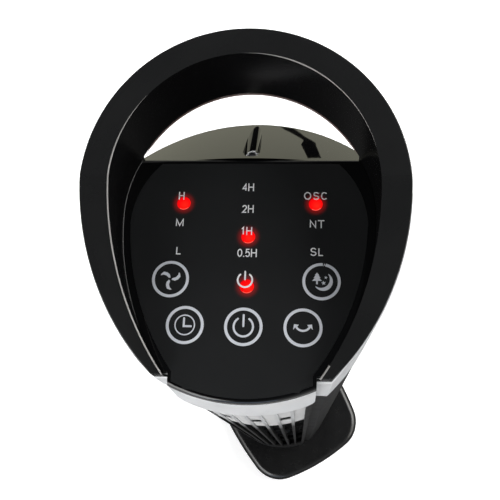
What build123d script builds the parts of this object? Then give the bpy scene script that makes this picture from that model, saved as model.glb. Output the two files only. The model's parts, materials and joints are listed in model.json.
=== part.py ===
"""Tower fan with a ring handle over its control deck, on a swivelling base.

Frame: Z up, origin on the floor at the swivel axis, the head's front faces -Y.
The head is built square to the frame. The base is built square too, then turned
by REST_SWING, because the fan stands stopped part of the way through its swing.
Sizes are millimetres.
"""
import os
from math import acos, atan2, cos, degrees, pi, radians, sin, sqrt, tan

from build123d import *

# ---- Overall sizes -------------------------------------------------------------
PANEL_Z = 690.0            # control panel above the floor, at the power key
REST_SWING = 31.4          # how far the base front is turned from the head front
HALF_WIDTH = 76.0          # half width of the tower, also the radius of its back
SIDE_RADIUS = 111.5        # plan radius of each flank
WAIST_Y = 15.0             # where the tower is widest
ARM_FRONT_Y = -65.0        # front ends of the flanks and of the handle's arms
FRONT_RADIUS = 85.0        # plan radius of the grille
FRONT_Y = -77.0            # foremost point of the grille
FRONT_HALF = 35.0          # half width of the grille frame
GRILLE_REAR_Y = -58.0      # how far back the grille's side returns reach
WALL = 2.6                 # moulded wall
FIT = 0.2                  # gap all round between fixed mouldings
RUN = 0.08                 # radial clearance of a running fit
SNUG = 0.03                # radial clearance of a pressed or screwed fit
SCREW_R = 1.5
SMALL_SCREW_R = 1.2
PCB_T = 1.6                # circuit boards

# ---- Base ----------------------------------------------------------------------
BASE_HALF_X = 91.0
BASE_HALF_Y = 113.0
BASE_SIDE_RADIUS = 450.0   # bulge of the base's long sides
BASE_END_RADIUS = 290.0    # bulge of its front and back
BASE_CORNER_RADIUS = 44.0
BASE_LOW = 2.5             # underside of the base above the floor
BASE_TOP = 26.0
BASE_RIM = 9.0             # rounding of the upper rim
PLATE_T = 3.0
FOOT_R = 10.0
FOOT_H = 3.5
NECK_R = 60.0              # collar that the head turns on
NECK_WALL = 6.0
NECK_TOP = 36.0
SPINDLE_R = 16.0           # hollow spindle of the swivel
SPINDLE_BORE = 11.0
SPINDLE_LOW = 10.0
BOSS_R = 22.0              # boss around the spindle
BOSS_LOW = 14.0
WASHER_T = 1.4
INLET_R = 3.6              # mains lead inlet
INLET_Z = 13.0
INLET_HALF = INLET_R + 7.5  # half width of the pocket around it
INLET_Y = BASE_HALF_Y - 3.0  # the pocket's floor

# ---- Swing drive ---------------------------------------------------------------
GEAR_MODULE = 1.25
GEAR_TEETH = 48
PINION_TEETH = 14
GEAR_T = 5.0
BACKLASH = 0.24            # tooth thickness taken off, measured on the pitch circle
GEAR_CENTRES = GEAR_MODULE * (GEAR_TEETH + PINION_TEETH) / 2 + 0.1
PINION_SHAFT_R = 3.0
GEAR_SCREW_R = (BOSS_R + GEAR_MODULE * GEAR_TEETH / 2) / 2 - 0.6
PINION_ANGLE = -90.0       # the pinion stands ahead of the spindle
# A gap between two teeth of the fixed gear faces the pinion when the base is turned.
GEAR_PHASE = PINION_ANGLE - REST_SWING + 180.0 / GEAR_TEETH
SWING_MOTOR_R = 24.0
SWING_MOTOR_H = 17.0
SWING_EAR_X = SWING_MOTOR_R + 4.5   # its fixing screws, off its axis
SWING_EAR_T = 1.2

# ---- Head, from the bottom up ----------------------------------------------------
FLOOR_LOW = NECK_TOP + WASHER_T + FIT
FLOOR_T = 4.0
FLOOR_TOP = FLOOR_LOW + FLOOR_T
COVER_TOP = 88.0           # top of the plain lower front cover
MOTOR_LOW = 86.0
MOTOR_H = 44.0
DUCT_FLOOR = 140.0
DUCT_T = 3.0
DUCT_BOSS_LOW = DUCT_FLOOR - 4.0   # the motor hangs from here on its dampers
IMPELLER_Y = 10.0
IMPELLER_R = 46.0
IMPELLER_LOW = DUCT_FLOOR + DUCT_T + 5.0
SECTIONS = 5
BLADES = 22
DISC_T = 2.0
SHAFT_R = 4.0
PIN_R = 3.0

# ---- Top of the head, measured down from the panel -------------------------------
RAIL_TOP = PANEL_Z - 5.0
RAIL_LOW = PANEL_Z - 60.0
BRACKET_LOW = RAIL_LOW - 58.0
IMPELLER_TOP = BRACKET_LOW - 6.0
PANEL_TILT = 3.15          # degrees, the panel rises to the rear
POWER_Y = -41.0            # the power key on the panel
DECK_T = 3.0
DECK_REAR_Y = 47.0
DECK_REAR_EDGE = 2.5       # rounding of the deck's rear edge
LENS_T = 1.2
LENS_HALF = 60.0           # half width of the touch lens, at LENS_WAIST_Y
LENS_WAIST_Y = 10.3        # ahead of this the lens follows the ring
LENS_CORNER_R = 46.6       # its two rear quarters
LENS_REAR_Y = 43.8
RING_HALF = 61.9           # half width inside the handle ring, at RING_TOP_Z
RING_SIDE_RADIUS = 134.3
RING_WAIST_Y = 16.5
RING_WALL = 2.4
RING_TOP_Z = PANEL_Z + 48.0
RING_DRAFT = 2.4           # degrees, the ring's inside widens downward
RING_EDGE = 0.5            # rounding of the ring's upper edges
CREASE_Y = 20.5            # the ring's top face creases here
CREASE_Z = PANEL_Z + 38.2
FRONT_SLOPE = 0.39         # rise of the ring's top face ahead of the crease
REAR_SLOPE = 0.185         # and behind it
GRIP_Z = PANEL_Z + 5.0     # underside of the handle bar where it leaves the deck
GRIP_SLOPE = 0.25
GRIP_EDGE = 1.5            # rounding of its inner edge
SHOULDER_SLOPE = 41.8      # degrees, from the deck's rear edge down to the back
SHOULDER_RADIUS = 245.0    # crown of the shoulder, side to side
TRIM_T = 1.4               # depth of the silver side trim in its rebate
TRIM_PROUD = 0.5
TRIM_FRONT_SLOPE = 2.2     # slope of its end on the arm's front
TRIM_BAND = 2.5            # black edge left above the trim
TRIM_REAR_Y = 14.0

# ---- Grille --------------------------------------------------------------------
NOSE_CORNER = 3.0          # rounding of the front piece's two upright edges
STILE = 4.0
GRILLE_T = 2.5
COLLAR_H = 30.0            # silver collar under the front lip
COLLAR_FLARE = 2.5         # how far its lower edge stands forward
COLLAR_T = 2.2
COLLAR_CORNER = 6.0
COLLAR_LOW = RAIL_TOP - COLLAR_H
RAIL_INSET = COLLAR_T + FIT  # the grille's top rail stands back behind the collar
BAR_PITCH = 9.2
BAR_W = 2.2
BAR_DEPTH = 5.0
HOOPS = 4
HOOP_T = 1.2
WINDOW_SILL = 12.0         # bottom rail, from the lower cover to the grille's opening

BIG = 400.0                # half size of cutting blocks


# ---- Plan outlines ---------------------------------------------------------------
def egg(half, side_radius, waist_y, front_y):
    """Half-round back, two flank arcs, straight front edge at front_y."""
    centre_x = side_radius - half
    front_x = sqrt(side_radius ** 2 - (waist_y - front_y) ** 2) - centre_x
    middle_y = (waist_y + front_y) / 2
    middle_x = sqrt(side_radius ** 2 - (waist_y - middle_y) ** 2) - centre_x
    back = ThreePointArc((half, waist_y), (0, waist_y + half), (-half, waist_y))
    left = ThreePointArc((-half, waist_y), (-middle_x, middle_y), (-front_x, front_y))
    front = Line((-front_x, front_y), (front_x, front_y))
    right = ThreePointArc((front_x, front_y), (middle_x, middle_y), (half, waist_y))
    return make_face([back, left, front, right])


def tower(inset, front_inset=None):
    """Section of the tower, drawn in by inset (negative stands proud)."""
    front = ARM_FRONT_Y + (inset if front_inset is None else front_inset)
    return egg(HALF_WIDTH - inset, SIDE_RADIUS - inset, WAIST_Y, front)


def ring_inside(inset, front_y=ARM_FRONT_Y - 1.0):
    """Inner contour of the handle ring, drawn in by inset."""
    return egg(RING_HALF - inset, RING_SIDE_RADIUS - inset, RING_WAIST_Y, front_y)


def draft_cone(x, y, radius):
    """A cone with the ring's draft; radius holds at RING_TOP_Z."""
    low, high = RAIL_LOW, RING_TOP_Z + 12.0
    draft = tan(radians(RING_DRAFT))
    cone = Cone(radius + (RING_TOP_Z - low) * draft, radius + (RING_TOP_Z - high) * draft,
                high - low, align=(Align.CENTER, Align.CENTER, Align.MIN))
    return Pos(x, y, low) * cone


def ring_well(inset, front_y=ARM_FRONT_Y - 1.0):
    """The space inside the handle ring with its draft, drawn in by inset."""
    centre_x = RING_SIDE_RADIUS - RING_HALF
    front = block(-BIG, BIG, front_y, RING_WAIST_Y, 0, BIG * 3)
    front &= draft_cone(centre_x, RING_WAIST_Y, RING_SIDE_RADIUS - inset)
    front &= draft_cone(-centre_x, RING_WAIST_Y, RING_SIDE_RADIUS - inset)
    rear = draft_cone(0, RING_WAIST_Y, RING_HALF - inset)
    return front + (rear & block(-BIG, BIG, RING_WAIST_Y, BIG, 0, BIG * 3))


def nose(inset, rear_y, half=None):
    """Section of the front piece: the grille's arc, two sides and a straight back."""
    half = FRONT_HALF - inset if half is None else half
    radius = FRONT_RADIUS - inset
    centre_y = FRONT_Y + FRONT_RADIUS
    corner_y = centre_y - sqrt(radius ** 2 - half ** 2)
    arc = ThreePointArc((-half, corner_y), (0, centre_y - radius), (half, corner_y))
    sides = Polyline((half, corner_y), (half, rear_y), (-half, rear_y), (-half, corner_y))
    return make_face([arc, sides])


def base_plan(inset):
    """Four bulged sides joined by four tangent corner arcs."""
    half_x = BASE_HALF_X - inset
    half_y = BASE_HALF_Y - inset
    side_r = BASE_SIDE_RADIUS - inset
    end_r = BASE_END_RADIUS - inset
    corner_r = BASE_CORNER_RADIUS - inset
    side_c = Vector(half_x - side_r, 0)
    end_c = Vector(0, half_y - end_r)
    corner_c = circles_meet(side_c, side_r - corner_r, end_c, end_r - corner_r)
    on_side = side_c + (corner_c - side_c).normalized() * side_r
    on_end = end_c + (corner_c - end_c).normalized() * end_r
    out = ((on_side - corner_c) + (on_end - corner_c)).normalized()
    on_corner = corner_c + out * corner_r
    edges = []
    for sx, sy in ((1, 1), (-1, 1), (-1, -1), (1, -1)):
        points = [(p.X * sx, p.Y * sy) for p in (on_side, on_corner, on_end)]
        edges.append(ThreePointArc(*points))
    for s in (1, -1):
        edges.append(ThreePointArc((s * on_side.X, -on_side.Y), (s * half_x, 0),
                                   (s * on_side.X, on_side.Y)))
        edges.append(ThreePointArc((-on_end.X, s * on_end.Y), (0, s * half_y),
                                   (on_end.X, s * on_end.Y)))
    return make_face(edges)


def circles_meet(c1, r1, c2, r2):
    """The upper right point where two circles cross."""
    gap = c2 - c1
    d = gap.length
    along = (r1 ** 2 - r2 ** 2 + d ** 2) / (2 * d)
    across = sqrt(r1 ** 2 - along ** 2)
    unit = gap.normalized()
    foot = c1 + unit * along
    side = Vector(-unit.Y, unit.X)
    return max((foot + side * across, foot - side * across), key=lambda p: p.X + p.Y)


# ---- Solids from outlines ----------------------------------------------------------
def prism(face, low, high):
    """The outline stood up from low to high."""
    return Pos(0, 0, low) * extrude(face, amount=high - low, dir=(0, 0, 1))


def block(x0, x1, y0, y1, z0, z1):
    """A box from its two corners."""
    size = Box(x1 - x0, y1 - y0, z1 - z0, align=(Align.MIN, Align.MIN, Align.MIN))
    return Pos(x0, y0, z0) * size


def rod(x, y, z0, z1, radius):
    """An upright cylinder."""
    solid = Cylinder(radius, z1 - z0, align=(Align.CENTER, Align.CENTER, Align.MIN))
    return Pos(x, y, z0) * solid


def rod_y(x, z, y0, y1, radius):
    """A cylinder lying along Y."""
    solid = Cylinder(radius, y1 - y0, align=(Align.CENTER, Align.CENTER, Align.MAX))
    return Pos(x, y0, z) * Rot(90, 0, 0) * solid


def tube(x, y, z0, z1, outer, inner):
    """An upright tube."""
    return rod(x, y, z0, z1, outer) - rod(x, y, z0 - 1, z1 + 1, inner)


def under(y, z, slope):
    """All that lies below the plane through (y, z) that rises by slope to the rear."""
    slab = Box(2 * BIG, 4 * BIG, 2 * BIG, align=(Align.CENTER, Align.CENTER, Align.MAX))
    return Location((0, y, z), (degrees(atan2(slope, 1)), 0, 0)) * slab


def screw(x, y, z, length, radius=1.5, head_r=3.1, head_h=2.2, up=True):
    """Pan-head screw; z is under the head and the shank runs up or down from it."""
    sign = 1 if up else -1
    head = Pos(0, 0, -sign * head_h / 2) * Cylinder(head_r, head_h)
    shank = Pos(0, 0, sign * length / 2) * Cylinder(radius, length)
    slot_w = 0.9
    cross = Box(head_r * 1.2, slot_w, 1.6) + Box(slot_w, head_r * 1.2, 1.6)
    solid = head + shank - Pos(0, 0, -sign * head_h) * cross
    return Pos(x, y, z) * solid


def around(count, radius, start=0.0):
    """Points evenly spaced on a circle about the origin."""
    turns = [radians(start + 360.0 * i / count) for i in range(count)]
    return [(radius * cos(a), radius * sin(a)) for a in turns]


def gear_face(teeth, turn=0.0):
    """Involute gear outline; a tooth points along +X turned by turn degrees."""
    pressure = radians(20)
    pitch_r = GEAR_MODULE * teeth / 2
    base_r = pitch_r * cos(pressure)
    tip_r = pitch_r + GEAR_MODULE
    root_r = pitch_r - 1.25 * GEAR_MODULE
    half_angle = (pi * GEAR_MODULE / 2 - BACKLASH) / 2 / pitch_r

    def flank(r):
        wrap = acos(min(1.0, base_r / r))
        return half_angle + (tan(pressure) - pressure) - (tan(wrap) - wrap)

    start_r = max(base_r, root_r)
    steps = 4
    radii = [start_r + (tip_r - start_r) * i / steps for i in range(steps + 1)]
    points = []
    for i in range(teeth):
        centre = radians(turn) + 2 * pi * i / teeth
        rising = [(r, centre - flank(r)) for r in radii]
        falling = [(r, centre + flank(r)) for r in reversed(radii)]
        foot = flank(start_r)
        tooth = [(root_r, centre - foot)] + rising + falling + [(root_r, centre + foot)]
        if root_r >= start_r - 0.01:
            tooth = rising + falling
        points += [(r * cos(a), r * sin(a)) for r, a in tooth]
    return make_face(Polyline(*points, close=True))


# ---- Base -------------------------------------------------------------------------
BASE_SCREWS = [(sx * 0.68 * BASE_HALF_X, sy * 0.40 * BASE_HALF_Y)
               for sx in (1, -1) for sy in (1, -1)]
FEET = [(sx * (BASE_HALF_X - 36.0), sy * (BASE_HALF_Y - 29.0))
        for sx in (1, -1) for sy in (1, -1)]


def base_cover():
    """Glossy shell: rounded rim, collar for the head, spindle boss, screw posts."""
    outer = prism(base_plan(0), BASE_LOW, BASE_TOP)
    outer = fillet(outer.edges().group_by(Axis.Z)[-1], BASE_RIM)
    inner = prism(base_plan(WALL), BASE_LOW - 1, BASE_TOP - WALL)
    inner = fillet(inner.edges().group_by(Axis.Z)[-1], BASE_RIM - WALL)
    inner -= block(-INLET_HALF - WALL, INLET_HALF + WALL, INLET_Y - WALL, BIG, 0, BASE_TOP)
    shell = outer - inner
    shell -= block(-INLET_HALF, INLET_HALF, INLET_Y, BIG,
                   INLET_Z - INLET_HALF * 0.8, INLET_Z + INLET_HALF * 0.8)
    shell -= block(-INLET_HALF - WALL - 1, INLET_HALF + WALL + 1, INLET_Y - WALL - 1,
                   BASE_HALF_Y - WALL, BASE_LOW - 1, BASE_LOW + PLATE_T + FIT)
    shell -= rod_y(0, INLET_Z, INLET_Y - WALL - 1, INLET_Y + 1, INLET_R + 2.3)
    shell += tube(0, 0, BASE_TOP - 1, NECK_TOP, NECK_R, NECK_R - NECK_WALL)
    shell += rod(0, 0, BOSS_LOW, NECK_TOP, BOSS_R)
    shell -= rod(0, 0, 0, NECK_TOP + 1, SPINDLE_R + RUN)
    for x, y in BASE_SCREWS:
        shell += rod(x, y, BASE_LOW + PLATE_T + 2.7, BASE_TOP - WALL + 0.5, 5.0)
        shell -= rod(x, y, BASE_LOW, BASE_TOP - WALL - 2.0, SCREW_R + SNUG)
    for x, y in around(3, GEAR_SCREW_R, 60):
        shell -= rod(x, y, BASE_TOP - 8, BASE_TOP + 1, SMALL_SCREW_R + SNUG)
    return shell


def base_plate():
    """Flat underside with pockets for the feet and cups for the screws."""
    low, top = BASE_LOW, BASE_LOW + PLATE_T
    plate = prism(base_plan(WALL + FIT), low, top)
    inlet_half = INLET_HALF + WALL + FIT
    plate -= block(-inlet_half, inlet_half, INLET_Y - WALL - FIT, BIG, low - 1, top + 1)
    for x, y in BASE_SCREWS:
        plate += rod(x, y, top - 0.5, top + 2.5, 6.0)
        plate -= rod(x, y, low - 1, top, 3.6)
        plate -= rod(x, y, low, top + 3, SCREW_R + FIT)
    for x, y in FEET:
        plate -= rod(x, y, low - 1, FOOT_H, FOOT_R + FIT)
    rib_x = 0.62 * BASE_HALF_X
    for x in (-0.3 * BASE_HALF_X, 0.3 * BASE_HALF_X):
        plate += block(x - 1, x + 1, -0.8 * BASE_HALF_Y, 0.8 * BASE_HALF_Y, top - 0.5, top + 2)
    for y in (-0.45 * BASE_HALF_Y, 0.45 * BASE_HALF_Y):
        plate += block(-rib_x, rib_x, y - 1, y + 1, top - 0.5, top + 2)
    return plate


def rubber_feet():
    foot = Cylinder(FOOT_R, FOOT_H, align=(Align.CENTER, Align.CENTER, Align.MIN))
    foot = chamfer(foot.edges().group_by(Axis.Z)[0], 0.8)
    return [Pos(x, y, 0) * foot for x, y in FEET]


def base_screws():
    seat = BASE_LOW + PLATE_T
    return [screw(x, y, seat, 12.0) for x, y in BASE_SCREWS]


def cable_inlet():
    """Rubber bush that the mains lead passes through at the back of the base."""
    wall_in = INLET_Y - WALL
    bush = rod_y(0, INLET_Z, wall_in - 2.0, INLET_Y + 2.2, INLET_R + 2.2)
    bush += rod_y(0, INLET_Z, INLET_Y, INLET_Y + 2.2, INLET_R + 4.4)
    bush += rod_y(0, INLET_Z, wall_in - 2.0, wall_in, INLET_R + 3.4)
    return bush - rod_y(0, INLET_Z, 0, BIG, INLET_R)


def fixed_gear():
    gear = prism(gear_face(GEAR_TEETH, GEAR_PHASE), BASE_TOP, BASE_TOP + GEAR_T)
    gear -= rod(0, 0, BASE_TOP - 1, BASE_TOP + GEAR_T + 1, BOSS_R + 0.1)
    for x, y in around(3, GEAR_SCREW_R, 60):
        gear -= rod(x, y, BASE_TOP - 1, BASE_TOP + GEAR_T + 1, SMALL_SCREW_R + 0.1)
    return gear


def gear_screws():
    return [screw(x, y, BASE_TOP + GEAR_T, 10.0, 1.2, 2.2, 1.5, up=False)
            for x, y in around(3, GEAR_SCREW_R, 60)]


def thrust_washer():
    return tube(0, 0, NECK_TOP, NECK_TOP + WASHER_T, BOSS_R - 0.5, SPINDLE_R + 0.4)


def glide_ring():
    return tube(0, 0, NECK_TOP, NECK_TOP + WASHER_T, NECK_R - 0.5, NECK_R - NECK_WALL + 0.5)


# ---- Swivel and swing drive ---------------------------------------------------------
PINION = (GEAR_CENTRES * cos(radians(PINION_ANGLE)), GEAR_CENTRES * sin(radians(PINION_ANGLE)))
BOARD_Y = (20.0, 64.0)
BOARD_HALF = 38.0
BOARD_Z = FLOOR_TOP + 9.0
BOARD_POSTS = [(sx * (BOARD_HALF - 5.0), y) for sx in (1, -1)
               for y in (BOARD_Y[0] + 4.0, BOARD_Y[1] - 9.0)]
RIBBON_Y = (29.0, 38.0)    # the flat lead's two edges
RIBBON_X = -64.0           # it climbs beside the duct, between blower and flank
RIBBON_END = -34.0         # and leaves its two connectors here
RIBBON_T = 1.0
CONNECTOR_W = 8.0
CONNECTOR_H = 7.0


def swing_plate():
    """Floor of the head: hollow spindle below, motor seat and board posts above."""
    plate = prism(tower(WALL + FIT), FLOOR_LOW, FLOOR_TOP)
    plate += prism(nose(GRILLE_T + FIT, -40.0), FLOOR_LOW, FLOOR_TOP)
    for s in (-1, 1):
        x0, x1 = sorted((s * (FRONT_HALF - GRILLE_T - FIT), s * (FRONT_HALF + FIT)))
        plate -= block(x0, x1, -BIG, GRILLE_REAR_Y + FIT, 0, FLOOR_TOP + 1)
    plate += rod(0, 0, SPINDLE_LOW, FLOOR_TOP, SPINDLE_R)
    plate -= rod(0, 0, 0, FLOOR_TOP + 1, SPINDLE_BORE)
    plate -= rod(*PINION, FLOOR_LOW - 1, FLOOR_TOP + 1, PINION_SHAFT_R + 0.4)
    for x in (-1, 1):
        x_post = x * SWING_EAR_X
        plate -= rod(x_post, PINION[1], FLOOR_LOW - 1, FLOOR_TOP + 1, SCREW_R + SNUG)
    for x, y in BOARD_POSTS:
        plate += rod(x, y, FLOOR_TOP - 1, BOARD_Z, 3.5)
        plate -= rod(x, y, FLOOR_TOP, BOARD_Z + 1, SMALL_SCREW_R + SNUG)
    return plate


def retaining_ring():
    ring = tube(0, 0, SPINDLE_LOW + 0.4, BOSS_LOW - FIT, SPINDLE_R + 5.0, SPINDLE_R + SNUG)
    for x, y in around(4, SPINDLE_R + 5.0, 45):
        ring -= rod(x, y, 0, BOSS_LOW, 1.8)
    return ring


def swing_motor():
    """Synchronous gear motor, output shaft hole on its axis, two fixing ears."""
    x, y = PINION
    can = rod(x, y, FLOOR_TOP, FLOOR_TOP + SWING_MOTOR_H, SWING_MOTOR_R)
    can = fillet(can.edges().group_by(Axis.Z)[-1], 1.5)
    ears = block(x - SWING_MOTOR_R - 8, x + SWING_MOTOR_R + 8, y - 3.5, y + 3.5,
                 FLOOR_TOP, FLOOR_TOP + SWING_EAR_T)
    motor = can + ears + rod(x, y, FLOOR_TOP + SWING_MOTOR_H, FLOOR_TOP + SWING_MOTOR_H + 2, 5)
    motor -= rod(x, y, FLOOR_TOP - 1, FLOOR_TOP + 10, PINION_SHAFT_R + RUN)
    for s in (-1, 1):
        motor -= rod(x + s * SWING_EAR_X, y, FLOOR_TOP - 1, FLOOR_TOP + 2, 1.6)
    return motor


def swing_motor_screws():
    x, y = PINION
    seat = FLOOR_TOP + SWING_EAR_T
    return [screw(x + s * SWING_EAR_X, y, seat, 4.6, SCREW_R, 2.8, 1.8, up=False)
            for s in (-1, 1)]


def swing_pinion():
    """Pinion with its hub and the output shaft it turns on."""
    low = BASE_TOP + 0.4
    gear = prism(gear_face(PINION_TEETH, PINION_ANGLE + 180), low, low + GEAR_T)
    gear = Pos(*PINION) * gear + rod(*PINION, low, FLOOR_LOW - 0.4, 5.0)
    return gear + rod(*PINION, low, FLOOR_TOP + 9.5, PINION_SHAFT_R)


def power_board():
    board = block(-BOARD_HALF, BOARD_HALF, *BOARD_Y, BOARD_Z, BOARD_Z + PCB_T)
    for x, y in BOARD_POSTS:
        board -= rod(x, y, BOARD_Z - 1, BOARD_Z + 3, 1.3)
    return board


def power_parts():
    """Run capacitor, relays, transformer and plug-in connectors on the board."""
    top = BOARD_Z + PCB_T
    capacitor = block(-14, 22, 45, 61, top, top + 22)
    capacitor = fillet(capacitor.edges().filter_by(Axis.Z), 2.5)
    relays = [block(x, x + 13, 24, 39, top, top + 14) for x in (-24, -8)]
    transformer = block(8, 27, 23, 41, top, top + 16)
    motor_plug = block(-26, -16, 42.5, 47.5, top, top + CONNECTOR_H)
    ribbon_plug = block(RIBBON_END, RIBBON_END + CONNECTOR_W, *RIBBON_Y, top,
                        top + CONNECTOR_H)
    return [capacitor, transformer, motor_plug, ribbon_plug] + relays


def power_board_screws():
    seat = BOARD_Z + PCB_T
    return [screw(x, y, seat, 7.0, 1.2, 2.5, 1.6, up=False) for x, y in BOARD_POSTS]


# ---- Tower housings -------------------------------------------------------------------
HOUSING_TOP = RAIL_LOW - 0.4
SLOT_ROWS = 4
SLOT_COLUMNS = 17


def rear_housing():
    """Back and flanks of the tower, with rows of upright intake slots."""
    shell = prism(tower(0), FLOOR_LOW, HOUSING_TOP) - prism(tower(WALL), 0, BIG * 3)
    shell -= block(-FRONT_HALF - FIT, FRONT_HALF + FIT, -BIG, WAIST_Y - 40, 0, BIG * 3)
    low, high = DUCT_FLOOR + 14.0, IMPELLER_TOP - 6.0
    pitch = (high - low) / SLOT_ROWS
    slot = Box(2 * BIG, 4.0, pitch - 12.0, align=(Align.MIN, Align.CENTER, Align.MIN))
    slots = []
    for column in range(SLOT_COLUMNS):
        angle = 14.0 + 152.0 * column / (SLOT_COLUMNS - 1)
        for row in range(SLOT_ROWS):
            slots.append(Pos(0, WAIST_Y, low + row * pitch + 6) * Rot(0, 0, angle) * slot)
    return shell - slots


def lower_front_cover():
    """Plain cover under the grille."""
    top = COVER_TOP - FIT
    shell = prism(nose(0, GRILLE_REAR_Y), FLOOR_LOW, top)
    upright = shell.edges().filter_by(Axis.Z).group_by(Axis.Y)[0]
    shell = fillet(upright, NOSE_CORNER)
    return shell - prism(nose(GRILLE_T, 0), 0, BIG)


def front_collar():
    """Silver collar under the lip, flared towards its lower edge, with round lower corners."""
    flare = Cone(FRONT_RADIUS + COLLAR_FLARE, FRONT_RADIUS, COLLAR_H,
                 align=(Align.CENTER, Align.CENTER, Align.MIN))
    outer = Pos(0, FRONT_Y + FRONT_RADIUS, COLLAR_LOW) * flare
    window = block(-FRONT_HALF, FRONT_HALF, -BIG, GRILLE_REAR_Y, COLLAR_LOW, RAIL_TOP)
    lower_corners = window.edges().filter_by(Axis.Y).group_by(Axis.Z)[0]
    outer &= fillet(lower_corners, COLLAR_CORNER)
    return outer - prism(nose(COLLAR_T, 0), 0, BIG * 3)


def front_grille():
    """Frame with stiles and rails, upright bars and the hoops that hold them."""
    frame = prism(nose(0, GRILLE_REAR_Y), COVER_TOP, COLLAR_LOW - FIT)
    frame = fillet(frame.edges().filter_by(Axis.Z).group_by(Axis.Y)[0], NOSE_CORNER)
    frame -= prism(nose(GRILLE_T, 0), 0, BIG * 3)
    rail = prism(nose(RAIL_INSET, GRILLE_REAR_Y), COLLAR_LOW - RAIL_INSET - GRILLE_T, RAIL_TOP)
    frame += rail - prism(nose(RAIL_INSET + GRILLE_T, 0), 0, BIG * 3)
    low, high = COVER_TOP + WINDOW_SILL, RAIL_LOW
    frame -= block(-FRONT_HALF + STILE, FRONT_HALF - STILE, -BIG, -66, low, high)
    centre_y = FRONT_Y + FRONT_RADIUS
    count = int((FRONT_HALF - STILE) / BAR_PITCH - 0.5)
    for i in range(-count - 1, count + 1):
        x = (i + 0.5) * BAR_PITCH
        face_y = centre_y - sqrt(FRONT_RADIUS ** 2 - x ** 2) + 0.3
        frame += block(x - BAR_W / 2, x + BAR_W / 2, face_y, face_y + BAR_DEPTH,
                       low - 1, high + 1)
    hoop = nose(BAR_DEPTH - 1.8, -66.0, FRONT_HALF - GRILLE_T + 0.2)
    hoop -= nose(BAR_DEPTH + 0.4, -60.0, FRONT_HALF)
    for i in range(1, HOOPS + 1):
        z = low + (high - low) * i / (HOOPS + 1)
        frame += prism(hoop, z - HOOP_T / 2, z + HOOP_T / 2)
    for z in (low + 8, (low + high) / 2, high - 30):
        for s in (-1, 1):
            x0, x1 = sorted((s * (FRONT_HALF - 0.5), s * (FRONT_HALF + 4.5)))
            tab_y = ARM_FRONT_Y + WALL + FIT
            frame += block(x0, x1, tab_y, tab_y + 2.0, z - 8, z + 8)
    return frame


# ---- Handle ring, shoulder and side trims ------------------------------------------------
PANEL = Location((0, POWER_Y, PANEL_Z), (PANEL_TILT, 0, 0))
PANEL_RISE = tan(radians(PANEL_TILT))
SLOPE = radians(SHOULDER_SLOPE)
SHOULDER_TOP = PANEL_Z + PANEL_RISE * (DECK_REAR_Y - POWER_Y)
GROOVE_R = 4.5
GROOVE_TAPER = 6.0         # degrees between the screw groove and the shoulder
WELL_Y = DECK_REAR_Y + 6.0
WELL_R = 4.0
WELL_FLOOR = SHOULDER_TOP - 13.5


def below_panel(depth):
    """All that lies below the panel plane, lowered by depth."""
    return under(POWER_Y, PANEL_Z - depth, PANEL_RISE)


def below_ring_top(depth):
    front = under(CREASE_Y, CREASE_Z - depth, FRONT_SLOPE)
    return front & under(CREASE_Y, CREASE_Z - depth, REAR_SLOPE)


def shoulder_cylinder(depth):
    """Long cylinder whose crown is the shoulder's surface, lowered by depth."""
    centre = Pos(0, DECK_REAR_Y - SHOULDER_RADIUS * sin(SLOPE),
                 SHOULDER_TOP - SHOULDER_RADIUS * cos(SLOPE))
    return centre * Rot(90 - SHOULDER_SLOPE, 0, 0) * Cylinder(SHOULDER_RADIUS - depth, 2 * BIG)


def groove(extra):
    """Screwdriver groove: a cylinder that runs out through the shoulder's surface."""
    start = Pos(0, WELL_Y, SHOULDER_TOP - tan(SLOPE) * (WELL_Y - DECK_REAR_Y) - 0.6)
    solid = Cylinder(GROOVE_R + extra, 70, align=(Align.CENTER, Align.CENTER, Align.MAX))
    return start * Rot(90 - SHOULDER_SLOPE + GROOVE_TAPER, 0, 0) * solid


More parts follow.
